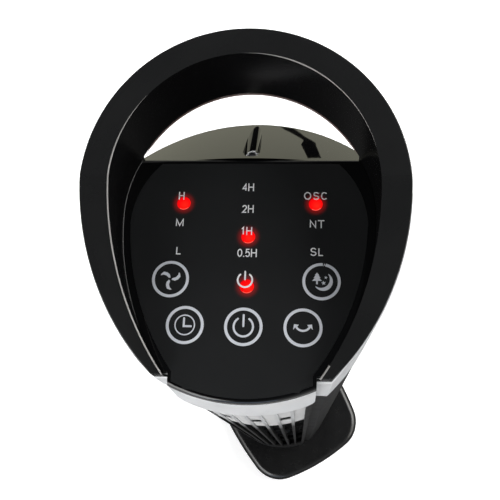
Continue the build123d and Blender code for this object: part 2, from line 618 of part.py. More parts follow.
def top_shell():
    """Handle ring, flanks, shoulder and back of the tower's top in one moulding."""
    whole = prism(tower(0), RAIL_LOW, BIG * 3) & below_ring_top(0)
    top_edges = [e for e in whole.edges().filter_by(Axis.Z, reverse=True)
                 if e.center().Z > RAIL_LOW + 20 and abs(e.center().Y - ARM_FRONT_Y) > 0.5
                 and e.length > 60]
    whole = fillet(top_edges, RING_EDGE)
    well = ring_well(0)
    rear = block(-BIG, BIG, DECK_REAR_Y, BIG, 0, BIG * 3)
    grip = under(DECK_REAR_Y, GRIP_Z, GRIP_SLOPE)
    shoulder = shoulder_cylinder(0)
    whole -= (well - rear) - below_panel(DECK_T)
    whole -= (well & rear) - shoulder
    whole -= (grip & rear) - shoulder
    bar_edge = [e for e in whole.edges() if abs(e.center().X) < 1 and e.length > RING_HALF
                and RING_WAIST_Y + RING_HALF < e.center().Y < WAIST_Y + HALF_WIDTH - RING_WALL
                and GRIP_Z < e.center().Z < CREASE_Z]
    whole = fillet(bar_edge, GRIP_EDGE)

    hollow = prism(tower(WALL), RAIL_LOW - 1, BIG * 3) & below_ring_top(WALL)
    hollow -= ring_well(-RING_WALL)
    front_part = block(-BIG, BIG, -BIG, DECK_REAR_Y - RING_WALL, 0, BIG * 3)
    hollow -= grip - front_part
    ledge = DECK_T + 2.0
    inside = prism(tower(WALL), RAIL_LOW - 1, BIG * 3)
    hollow += inside & front_part & below_panel(ledge)
    rear_part = block(-BIG, BIG, DECK_REAR_Y - 12, BIG, 0, BIG * 3)
    liner = groove(2.0) + rod(0, WELL_Y, WELL_FLOOR - 4.4, SHOULDER_TOP, WELL_R + 2.2)
    hollow += (inside & rear_part & shoulder_cylinder(WALL)) - liner
    hollow += (prism(ring_inside(3.0), RAIL_LOW, BIG * 3) & front_part
               & below_panel(DECK_T - 1)) - block(-BIG, BIG, -BIG, ARM_FRONT_Y + WALL, 0, BIG * 3)
    shell = whole - hollow
    shell -= block(-FRONT_HALF - FIT, FRONT_HALF + FIT, -BIG, WAIST_Y - 60, 0, BIG * 3)
    shell -= groove(0)
    shell -= rod(0, WELL_Y, WELL_FLOOR, BIG * 3, WELL_R)
    shell -= rod(0, WELL_Y, WELL_FLOOR - 5, WELL_FLOOR + 1, SCREW_R + FIT)
    shell -= side_trim(1, 0.0)
    shell -= side_trim(-1, 0.0)
    return max(shell.solids(), key=lambda s: s.volume)


def side_trim(side, gap=0.1):
    """Silver strip let into a flank below the ring, wrapped round the arm's front."""
    front_y = ARM_FRONT_Y - TRIM_PROUD
    strip = prism(egg(HALF_WIDTH + TRIM_PROUD, SIDE_RADIUS + TRIM_PROUD, WAIST_Y, front_y),
                  RAIL_LOW, BIG * 3)
    back_face = TRIM_T - gap
    strip -= prism(egg(HALF_WIDTH - back_face, SIDE_RADIUS - back_face, WAIST_Y,
                       ARM_FRONT_Y + back_face), 0, BIG * 3)
    strip &= under(CREASE_Y, CREASE_Z - TRIM_BAND - gap, FRONT_SLOPE)
    strip &= under(ARM_FRONT_Y, RAIL_TOP - 1.5 - gap, TRIM_FRONT_SLOPE)
    x0, x1 = sorted((side * (FRONT_HALF + FIT), side * BIG))
    strip &= block(x0, x1, -BIG, TRIM_REAR_Y - gap, RAIL_LOW, BIG * 3)
    return max(strip.solids(), key=lambda s: s.volume)


def handle_grip():
    """Strip that closes the handle bar's channel from below."""
    gap = FIT
    strip = prism(tower(WALL + gap), RAIL_LOW, BIG * 3)
    strip -= ring_well(-RING_WALL - gap)
    strip &= block(-BIG, BIG, DECK_REAR_Y + 3.0, BIG, 0, BIG * 3)
    strip &= under(DECK_REAR_Y, GRIP_Z + 6.0, GRIP_SLOPE)
    return strip - under(DECK_REAR_Y, GRIP_Z + 0.6, GRIP_SLOPE)


# ---- Control deck -------------------------------------------------------------------------
MASK_H = 6.0
BOARD_DROP = DECK_T + MASK_H + 0.4      # top of the control board below the panel
KEYS = [(-37.0, 22.8), (-28.4, 0.0), (0.0, 0.0), (28.4, 0.0), (37.0, 22.8)]
LAMPS_LEFT = [(-34.0, 62.6), (-34.0, 47.8), (-34.0, 33.2)]
LAMPS_MIDDLE = [(0.5, 68.7), (0.5, 56.8), (0.5, 45.2), (0.5, 33.7), (0.5, 19.8)]
LAMPS_RIGHT = [(34.2, 62.6), (34.2, 47.6), (34.2, 33.3)]
LAMPS = LAMPS_LEFT + LAMPS_MIDDLE + LAMPS_RIGHT
CONTROL_HALF = 45.0
CONTROL_V = (-14.0, 79.4)
CONTROL_SCREWS = [(sx * 40.0, v) for sx in (1, -1) for v in (8.0, 72.0)]


def on_panel(u, v, w0, w1, radius):
    """A cylinder square to the panel at panel coordinates u, v, from w0 to w1."""
    solid = Cylinder(radius, w1 - w0, align=(Align.CENTER, Align.CENTER, Align.MIN))
    return PANEL * Pos(u, v, w0) * solid


def panel_block(u0, u1, v0, v1, w0, w1):
    return PANEL * block(u0, u1, v0, v1, w0, w1)


def lens_blank(gap, low):
    """Outline of the touch lens, standing from the plane at depth low upward."""
    inset = RING_HALF - LENS_HALF + gap
    plan = prism(ring_inside(inset, ARM_FRONT_Y - 6), 0, BIG * 3)
    plan += prism(nose(2.4 + gap, -50.0, FRONT_HALF - 1.6 - gap), 0, BIG * 3)
    plan &= block(-BIG, BIG, -BIG, LENS_WAIST_Y, 0, BIG * 3)
    corner_x = LENS_HALF - LENS_CORNER_R
    rear = rod(corner_x, LENS_WAIST_Y, 0, BIG * 3, LENS_CORNER_R - gap)
    rear += rod(-corner_x, LENS_WAIST_Y, 0, BIG * 3, LENS_CORNER_R - gap)
    middle_y = LENS_WAIST_Y + LENS_CORNER_R - gap
    rear += block(-corner_x, corner_x, LENS_WAIST_Y, middle_y, 0, BIG * 3)
    plan += rear & block(-BIG, BIG, LENS_WAIST_Y, LENS_REAR_Y - gap, 0, BIG * 3)
    plan &= block(-BIG, BIG, -BIG, BIG, PANEL_Z - 40, PANEL_Z + 40)
    return plan - below_panel(low)


def top_deck():
    """Black deck inside the ring: bullnosed front lip, lens recess, board posts."""
    slab = ring_well(FIT, ARM_FRONT_Y + TRIM_T + FIT) & block(-BIG, BIG, -BIG, BIG,
                                                               PANEL_Z - 40, PANEL_Z + 40)
    slab += prism(nose(0, -55.0, FRONT_HALF), PANEL_Z - 40, PANEL_Z + 40)
    slab &= block(-BIG, BIG, -BIG, DECK_REAR_Y - FIT, 0, BIG * 3)
    slab &= below_panel(0)
    deck = slab - (below_panel(DECK_T) & block(-BIG, BIG, FRONT_Y + 8, BIG, 0, BIG * 3))
    deck -= block(-BIG, BIG, -BIG, BIG, 0, RAIL_TOP)
    lip = [e for e in deck.edges() if e.center().Y < FRONT_Y + 3 and e.center().Z > RAIL_TOP + 1]
    deck = fillet(lip, 2.6)
    rear_edge = [e for e in deck.edges() if e.center().Y > DECK_REAR_Y - FIT - 0.1
                 and e.center().Z > SHOULDER_TOP - 0.5 and e.length > RING_HALF]
    deck = fillet(rear_edge, DECK_REAR_EDGE)
    skirt_inset = RAIL_INSET + GRILLE_T + FIT
    skirt = prism(nose(skirt_inset, ARM_FRONT_Y + 2), RAIL_TOP - 18, PANEL_Z - 1)
    skirt -= prism(nose(skirt_inset + 2.0, 0), 0, BIG * 3)
    skirt &= below_panel(1)
    deck += skirt
    deck -= lens_blank(0.0, LENS_T)
    for u, v in CONTROL_SCREWS:
        deck += on_panel(u, v, -BOARD_DROP, -DECK_T + 0.5, 3.2)
        deck -= on_panel(u, v, -BOARD_DROP - 1, -DECK_T - 0.5, SMALL_SCREW_R + SNUG)
    for u, v in LAMPS:
        deck -= on_panel(u, v, -DECK_T - 1, 0, 3.4)
    tongue = block(-8, 8, DECK_REAR_Y - 8, WELL_Y + 6, WELL_FLOOR - 9.5, WELL_FLOOR - 4.6)
    tongue += block(-8, 8, DECK_REAR_Y - 8, DECK_REAR_Y - 5, WELL_FLOOR - 9.5, PANEL_Z + 20) \
        & below_panel(1.5)
    deck += tongue
    deck -= rod(0, WELL_Y, WELL_FLOOR - 9.2, WELL_FLOOR, SCREW_R + SNUG)
    return max(deck.solids(), key=lambda s: s.volume)


def control_lens():
    """Glossy touch sheet let into the deck."""
    return lens_blank(0.1, LENS_T - 0.02) & below_panel(0)


def light_mask():
    """Opaque blocks with a well for each lamp, so light shows only above it."""
    masks = []
    for column in (LAMPS_LEFT, LAMPS_MIDDLE, LAMPS_RIGHT):
        us = [u for u, v in column]
        vs = [v for u, v in column]
        mask = panel_block(us[0] - 5.5, us[0] + 5.5, min(vs) - 5.5, max(vs) + 5.5,
                           -DECK_T - MASK_H, -DECK_T)
        for u, v in column:
            mask -= on_panel(u, v, -DECK_T - MASK_H - 1, -DECK_T + 1, 3.4)
        masks.append(mask)
    return masks


def control_board():
    """Circuit board hung under the deck."""
    board = panel_block(-CONTROL_HALF, CONTROL_HALF, *CONTROL_V, -BOARD_DROP - PCB_T,
                        -BOARD_DROP)
    board = fillet(board.edges().filter_by(lambda e: abs(e.length - PCB_T) < 0.01), 6.0)
    for u, v in CONTROL_SCREWS:
        board -= on_panel(u, v, -BOARD_DROP - 3, 0, 1.4)
    return board


def control_screws():
    """Screws from below, square to the board."""
    head = Cylinder(2.5, 1.6, align=(Align.CENTER, Align.CENTER, Align.MAX))
    shank = Cylinder(1.2, 6.0, align=(Align.CENTER, Align.CENTER, Align.MIN))
    seat = -BOARD_DROP - PCB_T
    return [PANEL * Pos(u, v, seat) * (head + shank) for u, v in CONTROL_SCREWS]


def led_lamps():
    """Round lamps with a flange, one in every well of the light mask."""
    lamp_r, lamp_h = 1.5, 3.4
    lamp = rod(0, 0, 0, lamp_h, lamp_r) + Pos(0, 0, lamp_h) * Sphere(lamp_r)
    lamp += rod(0, 0, 0, 0.8, lamp_r + 0.5)
    return [PANEL * Pos(u, v, -BOARD_DROP) * lamp for u, v in LAMPS]


def touch_pads():
    """Conductive foam posts that carry each key's field up to the deck."""
    return [on_panel(u, v, -BOARD_DROP, -DECK_T - 0.2, 4.5) for u, v in KEYS]


def control_parts():
    """Controller chip, buzzer and ribbon connector under the board."""
    low = -BOARD_DROP - PCB_T
    chip = panel_block(-20, -6, 40, 54, low - 2.2, low)
    buzzer = on_panel(20, 30, low - 7.0, low, 6.0)
    v0, v1 = RIBBON_Y[0] - POWER_Y, RIBBON_Y[1] - POWER_Y
    connector = panel_block(RIBBON_END, RIBBON_END + CONNECTOR_W, v0, v1,
                            low - CONNECTOR_H, low)
    remote_eye = panel_block(-4, 4, -13, -8, low - 5.0, low)
    return [chip, buzzer, connector, remote_eye]


def rear_screw():
    """Bright screw at the foot of the shoulder's groove; it holds the deck down."""
    return screw(0, WELL_Y, WELL_FLOOR, 9.0, 1.5, 3.3, 2.4, up=False)


# ---- Air duct and upper bearing ---------------------------------------------------------
DUCT_FIX = [(sx * 56.0, y) for sx in (1, -1) for y in (-18.0, 42.0)]
DUCT_SET_BACK = GRILLE_REAR_Y - ARM_FRONT_Y + FIT
BUSH_R = 12.0
BEARING_R = 7.0


def guide_wall(points, low, high):
    """A curved upright wall through three plan points."""
    return prism(trace(ThreePointArc(*points), 2.0), low, high)


def air_duct():
    """Duct floor with the scroll wall on the right and the tongue on the left."""
    floor = prism(tower(WALL + FIT, DUCT_SET_BACK), DUCT_FLOOR, DUCT_FLOOR + DUCT_T)
    floor -= rod(0, IMPELLER_Y, 0, BIG * 3, SHAFT_R + 8.0) + ribbon_slot()
    top = BRACKET_LOW - FIT
    scroll_x = IMPELLER_R + 7.0
    mouth_x = FRONT_HALF - 6.5
    duct = floor + guide_wall([(mouth_x, ARM_FRONT_Y + 6.0), (scroll_x - 5.0, -30.0),
                               (scroll_x, IMPELLER_Y + 4.0)], DUCT_FLOOR, top)
    tongue_y = IMPELLER_Y - sqrt((IMPELLER_R + 3.5) ** 2 - 28.0 ** 2)
    duct += guide_wall([(-mouth_x, ARM_FRONT_Y + 6.0), (-mouth_x - 1.5, -46.0),
                        (-28.0, tongue_y)], DUCT_FLOOR, top)
    for x, y in MOTOR_FIX:
        duct += rod(x, y + IMPELLER_Y, DUCT_BOSS_LOW, DUCT_FLOOR + 0.5, 6.0)
        duct -= rod(x, y + IMPELLER_Y, DUCT_FLOOR - 5, DUCT_FLOOR + 1.5, SCREW_R + SNUG)
    for x, y in DUCT_FIX:
        duct += rod(x, y, DUCT_FLOOR + 1, top, 3.5)
        duct -= rod(x, y, top - 12, top + 1, SCREW_R + SNUG)
    return duct


def upper_bracket():
    """Light grey cap of the duct: bearing seat, ribs and a windowed front web."""
    plate = prism(tower(WALL + FIT, DUCT_SET_BACK), BRACKET_LOW, BRACKET_LOW + DUCT_T)
    top = BRACKET_LOW + DUCT_T + 10.0
    seat = tube(0, IMPELLER_Y, BRACKET_LOW, top, BUSH_R + 3.0, BUSH_R + 0.05)
    bracket = plate - rod(0, IMPELLER_Y, 0, BIG * 3, BUSH_R + 1.0) + seat
    bracket += tube(0, IMPELLER_Y, BRACKET_LOW, BRACKET_LOW + 1.5, BUSH_R + 2, BUSH_R - 3)
    for turn in (45, 135, 225, 315):
        rib = Box(34, 2.0, 8.0, align=(Align.MIN, Align.CENTER, Align.MIN))
        bracket += Pos(0, IMPELLER_Y, BRACKET_LOW + DUCT_T - 0.5) * Rot(0, 0, turn) \
            * Pos(BUSH_R + 1.5, 0, 0) * rib
    web_top = RAIL_LOW + 14.0
    web = nose(GRILLE_T + 5.5, GRILLE_REAR_Y - FIT, FRONT_HALF - 5.0)
    web -= nose(GRILLE_T + 8.0, 0, FRONT_HALF)
    web = prism(web, BRACKET_LOW, web_top)
    for x in (-17.0, 0.0, 17.0):
        window = Box(12, 40, 24)
        window = fillet(window.edges().filter_by(Axis.Y), 3.0)
        web -= Pos(x, ARM_FRONT_Y, RAIL_LOW - 18.0) * window
    web += prism(nose(GRILLE_T + 5.5, ARM_FRONT_Y + 8, FRONT_HALF - 5.0), BRACKET_LOW,
                 BRACKET_LOW + DUCT_T)
    bracket += web
    for x, y in DUCT_FIX:
        bracket -= rod(x, y, BRACKET_LOW - 1, BRACKET_LOW + DUCT_T + 1, SCREW_R + FIT)
    return bracket - ribbon_slot()


def bracket_screws():
    seat = BRACKET_LOW + DUCT_T
    return [screw(x, y, seat, 12.0, up=False) for x, y in DUCT_FIX]


def rubber_bush():
    return tube(0, IMPELLER_Y, BRACKET_LOW + 1.5, BRACKET_LOW + DUCT_T + 9.0, BUSH_R,
                BEARING_R + 0.05)


def upper_bearing():
    return tube(0, IMPELLER_Y, BRACKET_LOW + 1.5, BRACKET_LOW + DUCT_T + 8.5, BEARING_R,
                PIN_R + RUN)


# ---- Blower rotor ---------------------------------------------------------------------------
SECTION_H = (IMPELLER_TOP - IMPELLER_LOW - DISC_T) / SECTIONS
BLADE_INNER = IMPELLER_R - 11.5


def impeller_sections():
    """Stacked blade rings; each is turned a little from the one below."""
    blade = trace(ThreePointArc((BLADE_INNER, 0), (IMPELLER_R - 5.0, -2.6),
                                (IMPELLER_R - 0.8, -7.5)), 1.1)
    sections = []
    for i in range(SECTIONS):
        low = IMPELLER_LOW + DISC_T + i * SECTION_H
        ring_low = low + SECTION_H - DISC_T
        section = tube(0, 0, ring_low, low + SECTION_H, IMPELLER_R, BLADE_INNER - 2.0)
        one = prism(blade, low, ring_low + 0.3)
        turns = [Rot(0, 0, (k + i / SECTIONS) * 360.0 / BLADES) for k in range(BLADES)]
        section += [turn * one for turn in turns]
        sections.append(Pos(0, IMPELLER_Y, 0) * section)
    return sections


def impeller_hub():
    """Lower end disc with the boss that clamps the motor shaft."""
    hub = rod(0, IMPELLER_Y, IMPELLER_LOW, IMPELLER_LOW + DISC_T, IMPELLER_R)
    hub += rod(0, IMPELLER_Y, IMPELLER_LOW - 4.0, IMPELLER_LOW + 16.0, 9.0)
    hub -= rod(0, IMPELLER_Y, 0, IMPELLER_LOW + 14.0, SHAFT_R + SNUG)
    return hub - rod_y(0, IMPELLER_LOW + 9.0, IMPELLER_Y - 12, IMPELLER_Y, SCREW_R + SNUG)


def impeller_cap():
    """Upper end disc, its boss holding the pivot pin."""
    cap = rod(0, IMPELLER_Y, IMPELLER_TOP, IMPELLER_TOP + DISC_T, IMPELLER_R)
    cap += rod(0, IMPELLER_Y, IMPELLER_TOP - 10.0, IMPELLER_TOP + 4.0, 7.0)
    return cap - rod(0, IMPELLER_Y, IMPELLER_TOP - 8.0, BIG * 3, PIN_R + SNUG)


def pivot_pin():
    return rod(0, IMPELLER_Y, IMPELLER_TOP - 8.0, BRACKET_LOW + DUCT_T + 10.0, PIN_R)


def grub_screw():
    inner = IMPELLER_Y - SHAFT_R - SNUG
    return rod_y(0, IMPELLER_LOW + 9.0, inner - 5.0, inner, 1.5)


def motor_shaft():
    return rod(0, IMPELLER_Y, MOTOR_LOW - 4.0, IMPELLER_LOW + 13.5, SHAFT_R)


# ---- Motor ----------------------------------------------------------------------------------
MOTOR_TOP = MOTOR_LOW + MOTOR_H
STATOR_R = 40.0
STATOR_H = 24.0
STATOR_LOW = MOTOR_LOW + (MOTOR_H - STATOR_H) / 2
ROTOR_R = 22.0
AIR_GAP = 0.4
POLES = 8
TOOTH_W = 7.0
BEARING_H = 8.0
MOTOR_BEARING_R = 8.0
BEARING_SEAT = 0.8         # end wall behind each bearing
COVER_EAR_T = 3.0
MOTOR_FIX = around(3, STATOR_R + 10.0, 90)
MOTOR_BOLTS = around(4, STATOR_R + 6.0, 45)


def motor_cover(lower):
    """Pressed end cover: skirt round the stator, bearing seat and cooling holes."""
    middle = MOTOR_LOW + MOTOR_H / 2
    rim = middle - FIT / 2
    cover = rod(0, 0, MOTOR_LOW, rim, STATOR_R + 2.6)
    cover = fillet(cover.edges().group_by(Axis.Z)[0], 4.0)
    cover -= rod(0, 0, MOTOR_LOW + 2.4, BIG, STATOR_R + SNUG)
    cover += rod(0, 0, MOTOR_LOW, MOTOR_LOW + BEARING_H + 0.5, MOTOR_BEARING_R + 3.0)
    cover -= rod(0, 0, MOTOR_LOW + BEARING_SEAT, BIG, MOTOR_BEARING_R + SNUG)
    cover -= rod(0, 0, 0, BIG, SHAFT_R + 0.6)
    for x, y in around(6, 26.0):
        cover -= rod(x, y, 0, MOTOR_LOW + 4, 5.0)
    for x, y in MOTOR_BOLTS:
        ear = rod(x, y, rim - COVER_EAR_T, rim, 4.6)
        cover += ear - rod(0, 0, 0, BIG, STATOR_R + 1)
        cover -= rod(x, y, 0, BIG, SCREW_R + SNUG)
    if not lower:
        cover = Pos(0, 0, 2 * middle) * Rot(180, 0, 0) * cover
        for x, y in MOTOR_FIX:
            arm = rod(x, y, MOTOR_TOP - COVER_EAR_T, MOTOR_TOP, 6.5)
            arm += rod(x * 0.8, y * 0.8, MOTOR_TOP - COVER_EAR_T, MOTOR_TOP, 6.5)
            cover += arm - rod(0, 0, 0, BIG, STATOR_R - 2)
            cover -= rod(x, y, 0, BIG, 2.0)
    return Pos(0, IMPELLER_Y, 0) * cover


def stator_core():
    top = STATOR_LOW + STATOR_H
    core = tube(0, 0, STATOR_LOW, top, STATOR_R, STATOR_R - 6.0)
    for i in range(POLES):
        turn = Rot(0, 0, 360.0 * i / POLES)
        core += turn * block(ROTOR_R + 2.0, STATOR_R - 5.0, -TOOTH_W / 2, TOOTH_W / 2,
                             STATOR_LOW, top)
        core += turn * block(ROTOR_R - 1.0, ROTOR_R + 3.0, -TOOTH_W / 2 - 2.5,
                             TOOTH_W / 2 + 2.5, STATOR_LOW, top)
    return Pos(0, IMPELLER_Y, 0) * (core - rod(0, 0, 0, BIG, ROTOR_R + AIR_GAP))


def stator_coils():
    """One wound coil on every tooth."""
    top = STATOR_LOW + STATOR_H
    inner, outer = ROTOR_R + 3.2, STATOR_R - 7.6
    coil = block(inner, outer, -TOOTH_W / 2 - 4.0, TOOTH_W / 2 + 4.0, STATOR_LOW - 4, top + 4)
    coil = fillet(coil.edges().filter_by(Axis.X), 2.5)
    coil -= block(0, BIG, -TOOTH_W / 2 - 0.15, TOOTH_W / 2 + 0.15, STATOR_LOW - 0.15, top + 0.15)
    return [Pos(0, IMPELLER_Y, 0) * Rot(0, 0, 360.0 * i / POLES) * coil for i in range(POLES)]


def rotor_core():
    return tube(0, IMPELLER_Y, STATOR_LOW, STATOR_LOW + STATOR_H, ROTOR_R, SHAFT_R + SNUG)


def motor_bearings():
    height = BEARING_H - BEARING_SEAT
    lows = (MOTOR_LOW + BEARING_SEAT, MOTOR_TOP - BEARING_SEAT - height)
    return [tube(0, IMPELLER_Y, low, low + height, MOTOR_BEARING_R, SHAFT_R + RUN)
            for low in lows]


def motor_bolts():
    seat = MOTOR_LOW + MOTOR_H / 2 - FIT / 2 - COVER_EAR_T
    return [screw(x, y + IMPELLER_Y, seat, 7.0, 1.5, 2.8, 1.8) for x, y in MOTOR_BOLTS]


def rubber_dampers():
    return [tube(x, y + IMPELLER_Y, MOTOR_TOP, DUCT_BOSS_LOW, 5.5, 1.7) for x, y in MOTOR_FIX]


def motor_screws():
    seat = MOTOR_TOP - COVER_EAR_T
    length = DUCT_FLOOR - seat
    return [screw(x, y + IMPELLER_Y, seat, length, 1.5, 3.4, 2.2) for x, y in MOTOR_FIX]


def ribbon_cable():
    """Flat lead from the power board up beside the duct to the control board."""
    low = BOARD_Z + PCB_T + CONNECTOR_H / 2
    mid_v = (RIBBON_Y[0] + RIBBON_Y[1]) / 2 - POWER_Y
    high = PANEL_Z + PANEL_RISE * mid_v - BOARD_DROP - PCB_T - CONNECTOR_H / 2
    route = FilletPolyline((RIBBON_END, low), (RIBBON_X, low), (RIBBON_X, high),
                           (RIBBON_END, high), radius=6.0)
    strip = extrude(trace(route, RIBBON_T), amount=RIBBON_Y[1] - RIBBON_Y[0], dir=(0, 0, 1))
    return Pos(0, RIBBON_Y[1], 0) * Rot(90, 0, 0) * strip


def ribbon_slot():
    """What the duct's plates leave clear around the flat lead."""
    return block(RIBBON_X - 1.5, RIBBON_X + 1.5, RIBBON_Y[0] - 1, RIBBON_Y[1] + 1, 0, BIG * 3)


# ---- Build ------------------------------------------------------------------------------------
def turned(shapes):
    """The base and what is fixed to it stand turned under the head."""
    if isinstance(shapes, list):
        return [Rot(0, 0, REST_SWING) * s for s in shapes]
    return Rot(0, 0, REST_SWING) * shapes


NODES = {
    "base_cover": lambda: turned(base_cover()),
    "base_plate": lambda: turned(base_plate()),
    "rubber_feet": lambda: turned(rubber_feet()),
    "base_screws": lambda: turned(base_screws()),
    "cable_inlet": lambda: turned(cable_inlet()),
    "fixed_gear": lambda: turned(fixed_gear()),
    "gear_screws": lambda: turned(gear_screws()),
    "thrust_washer": lambda: turned(thrust_washer()),
    "glide_ring": lambda: turned(glide_ring()),
    "swing_plate": swing_plate,
    "retaining_ring": retaining_ring,
    "swing_motor": swing_motor,
    "swing_motor_screws": swing_motor_screws,
    "swing_pinion": swing_pinion,
    "power_board": power_board,
    "power_parts": power_parts,
    "power_board_screws": power_board_screws,
    "rear_housing": rear_housing,
    "lower_front_cover": lower_front_cover,
    "front_collar": front_collar,
    "front_grille": front_grille,
    "side_trim_left": lambda: side_trim(-1),
    "side_trim_right": lambda: side_trim(1),
    "top_shell": top_shell,
    "handle_grip": handle_grip,
    "top_deck": top_deck,
    "control_lens": control_lens,
    "light_mask": light_mask,
    "control_board": control_board,
    "control_screws": control_screws,
    "led_lamps": led_lamps,
    "touch_pads": touch_pads,
    "control_parts": control_parts,
    "rear_screw": rear_screw,
    "air_duct": air_duct,
    "upper_bracket": upper_bracket,
    "bracket_screws": bracket_screws,
    "rubber_bush": rubber_bush,
    "upper_bearing": upper_bearing,
    "impeller_sections": impeller_sections,
    "impeller_hub": impeller_hub,
    "impeller_cap": impeller_cap,
    "pivot_pin": pivot_pin,
    "grub_screw": grub_screw,
    "motor_shaft": motor_shaft,
    "motor_lower_cover": lambda: motor_cover(True),
    "motor_upper_cover": lambda: motor_cover(False),
    "stator_core": stator_core,
    "stator_coils": stator_coils,
    "rotor_core": rotor_core,
    "motor_bearings": motor_bearings,
    "motor_bolts": motor_bolts,
    "rubber_dampers": rubber_dampers,
    "motor_screws": motor_screws,
    "ribbon_cable": ribbon_cable,
}


def main():
    os.makedirs("parts", exist_ok=True)
    for name, build in NODES.items():
        made = build()
        solids = made if isinstance(made, list) else [made]
        solids = [s for shape in solids for s in shape.solids()]
        export_step(solids[0] if len(solids) == 1 else Compound(children=solids),
                    f"parts/{name}.step")


main()
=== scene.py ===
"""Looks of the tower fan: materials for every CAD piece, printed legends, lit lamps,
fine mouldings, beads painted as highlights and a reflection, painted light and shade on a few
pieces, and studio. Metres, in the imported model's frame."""
import json
from math import cos, hypot, pi, radians, sin, sqrt, tan

import bmesh
import bpy
from mathutils import Matrix, Vector

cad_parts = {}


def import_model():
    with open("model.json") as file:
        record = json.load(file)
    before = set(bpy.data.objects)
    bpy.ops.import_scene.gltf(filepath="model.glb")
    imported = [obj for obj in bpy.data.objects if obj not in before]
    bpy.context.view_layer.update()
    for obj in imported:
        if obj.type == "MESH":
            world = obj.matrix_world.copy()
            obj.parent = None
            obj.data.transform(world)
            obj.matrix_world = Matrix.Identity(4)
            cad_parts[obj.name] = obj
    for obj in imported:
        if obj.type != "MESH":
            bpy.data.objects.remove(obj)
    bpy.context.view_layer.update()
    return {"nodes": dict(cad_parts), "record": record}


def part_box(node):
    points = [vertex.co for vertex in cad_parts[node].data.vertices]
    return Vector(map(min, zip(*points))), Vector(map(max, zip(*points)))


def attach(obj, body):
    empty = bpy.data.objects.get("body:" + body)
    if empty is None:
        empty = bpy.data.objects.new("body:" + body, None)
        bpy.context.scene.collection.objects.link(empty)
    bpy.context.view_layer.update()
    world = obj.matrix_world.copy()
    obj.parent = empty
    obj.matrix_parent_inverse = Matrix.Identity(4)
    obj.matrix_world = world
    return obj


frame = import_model()
NODES = frame["nodes"]
MM = 0.001

# ---- Panel frame, from the touch lens ------------------------------------------------
PANEL_TILT = radians(3.15)
LENS_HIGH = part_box("control_lens")[1]
POWER_TO_REAR = 84.7 * MM / cos(PANEL_TILT)      # power key to the lens's rear edge
ALONG = Vector((0.0, cos(PANEL_TILT), sin(PANEL_TILT)))
NORMAL = Vector((0.0, -sin(PANEL_TILT), cos(PANEL_TILT)))
POWER_KEY = Vector((0.0, LENS_HIGH[1], LENS_HIGH[2])) - ALONG * POWER_TO_REAR
LAMP_SPOTS = [(-33.1, 62.8), (34.05, 62.8), (0.65, 45.2), (0.9, 19.8)]
LAMP_R = 3.5
GRILLE_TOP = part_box("front_grille")[1][2]
SCREW_Y = (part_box("rear_screw")[0][1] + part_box("rear_screw")[1][1]) / 2


def on_panel(u, v, w=0.0):
    """Panel millimetres to a point in the frame; w is above the lens."""
    return POWER_KEY + Vector((u * MM, 0, 0)) + ALONG * (v * MM) + NORMAL * (w * MM)


# ---- Objects -------------------------------------------------------------------------------
def add_object(name, data):
    thing = bpy.data.objects.new(name, data)
    bpy.context.scene.collection.objects.link(thing)
    return thing


def head_piece(name, work, materials):
    """A bmesh made into a piece that rides the head; work is freed."""
    bmesh.ops.recalc_face_normals(work, faces=work.faces)
    mesh = bpy.data.meshes.new(name)
    work.to_mesh(mesh)
    work.free()
    piece = add_object(name, mesh)
    for material in materials:
        mesh.materials.append(material)
    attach(piece, "head")
    return piece


def turns_of(count):
    """Angles of count even steps once round."""
    return [2 * pi * k / count for k in range(count)]


def tube_rows(work, rows, closed=False):
    """Faces between rows of vertices that each go once round a tube."""
    pairs = list(zip(rows, rows[1:] + rows[:1])) if closed else list(zip(rows, rows[1:]))
    for one, two in pairs:
        for k in range(len(one)):
            j = (k + 1) % len(one)
            work.faces.new((one[k], one[j], two[j], two[k])).smooth = True


# ---- Material nodes --------------------------------------------------------------------
def new_material(name):
    """An empty node material with its Principled shader and output."""
    material = bpy.data.materials.new(name)
    material.use_nodes = True
    return (material, *nodes_of(material))


def nodes_of(material):
    return material.node_tree, material.node_tree.nodes["Principled BSDF"]


def node(tree, kind, inputs=(), **settings):
    made = tree.nodes.new(kind)
    for key, value in settings.items():
        setattr(made, key, value)
    for key, value in dict(inputs).items():
        if isinstance(value, bpy.types.NodeSocket):
            tree.links.new(value, made.inputs[key])
        else:
            made.inputs[key].default_value = value
    return made


def place_in(tree, kind="Object"):
    return node(tree, "ShaderNodeTexCoord").outputs[kind]


def calc(tree, operation, one, two=0.0):
    return node(tree, "ShaderNodeMath", {0: one, 1: two}, operation=operation).outputs[0]


def noise(tree, scale, detail=3.0, stretch=(1, 1, 1)):
    vector = node(tree, "ShaderNodeMapping", {"Vector": place_in(tree), "Scale": stretch})
    made = node(tree, "ShaderNodeTexNoise",
                {"Vector": vector.outputs[0], "Scale": scale, "Detail": detail,
                 "Roughness": 0.55})
    return made.outputs["Fac"]


def spread(tree, value, low, high, from_low=0.3, from_high=0.7):
    """value, stretched so that its usual range runs from low to high."""
    made = node(tree, "ShaderNodeMapRange", {"Value": value, "From Min": from_low,
                                             "From Max": from_high, "To Min": low,
                                             "To Max": high})
    return made.outputs["Result"]


def mix(tree, kind, fac, one, two):
    """From one to two by fac; each is a value or a socket, and kind is RGBA or FLOAT."""
    made = node(tree, "ShaderNodeMix", data_type=kind)
    tree.links.new(fac, made.inputs["Factor"])
    for key, value in (("A", one), ("B", two)):
        if isinstance(value, bpy.types.NodeSocket):
            tree.links.new(value, made.inputs[key])
        else:
            made.inputs[key].default_value = value
    return made.outputs["Result"]


def between(tree, fac, one, two):
    return mix(tree, "RGBA", fac, (*one, 1), (*two, 1))


def fed_by(shader, key):
    """The socket that an input of the shader is linked to."""
    return shader.inputs[key].links[0].from_socket


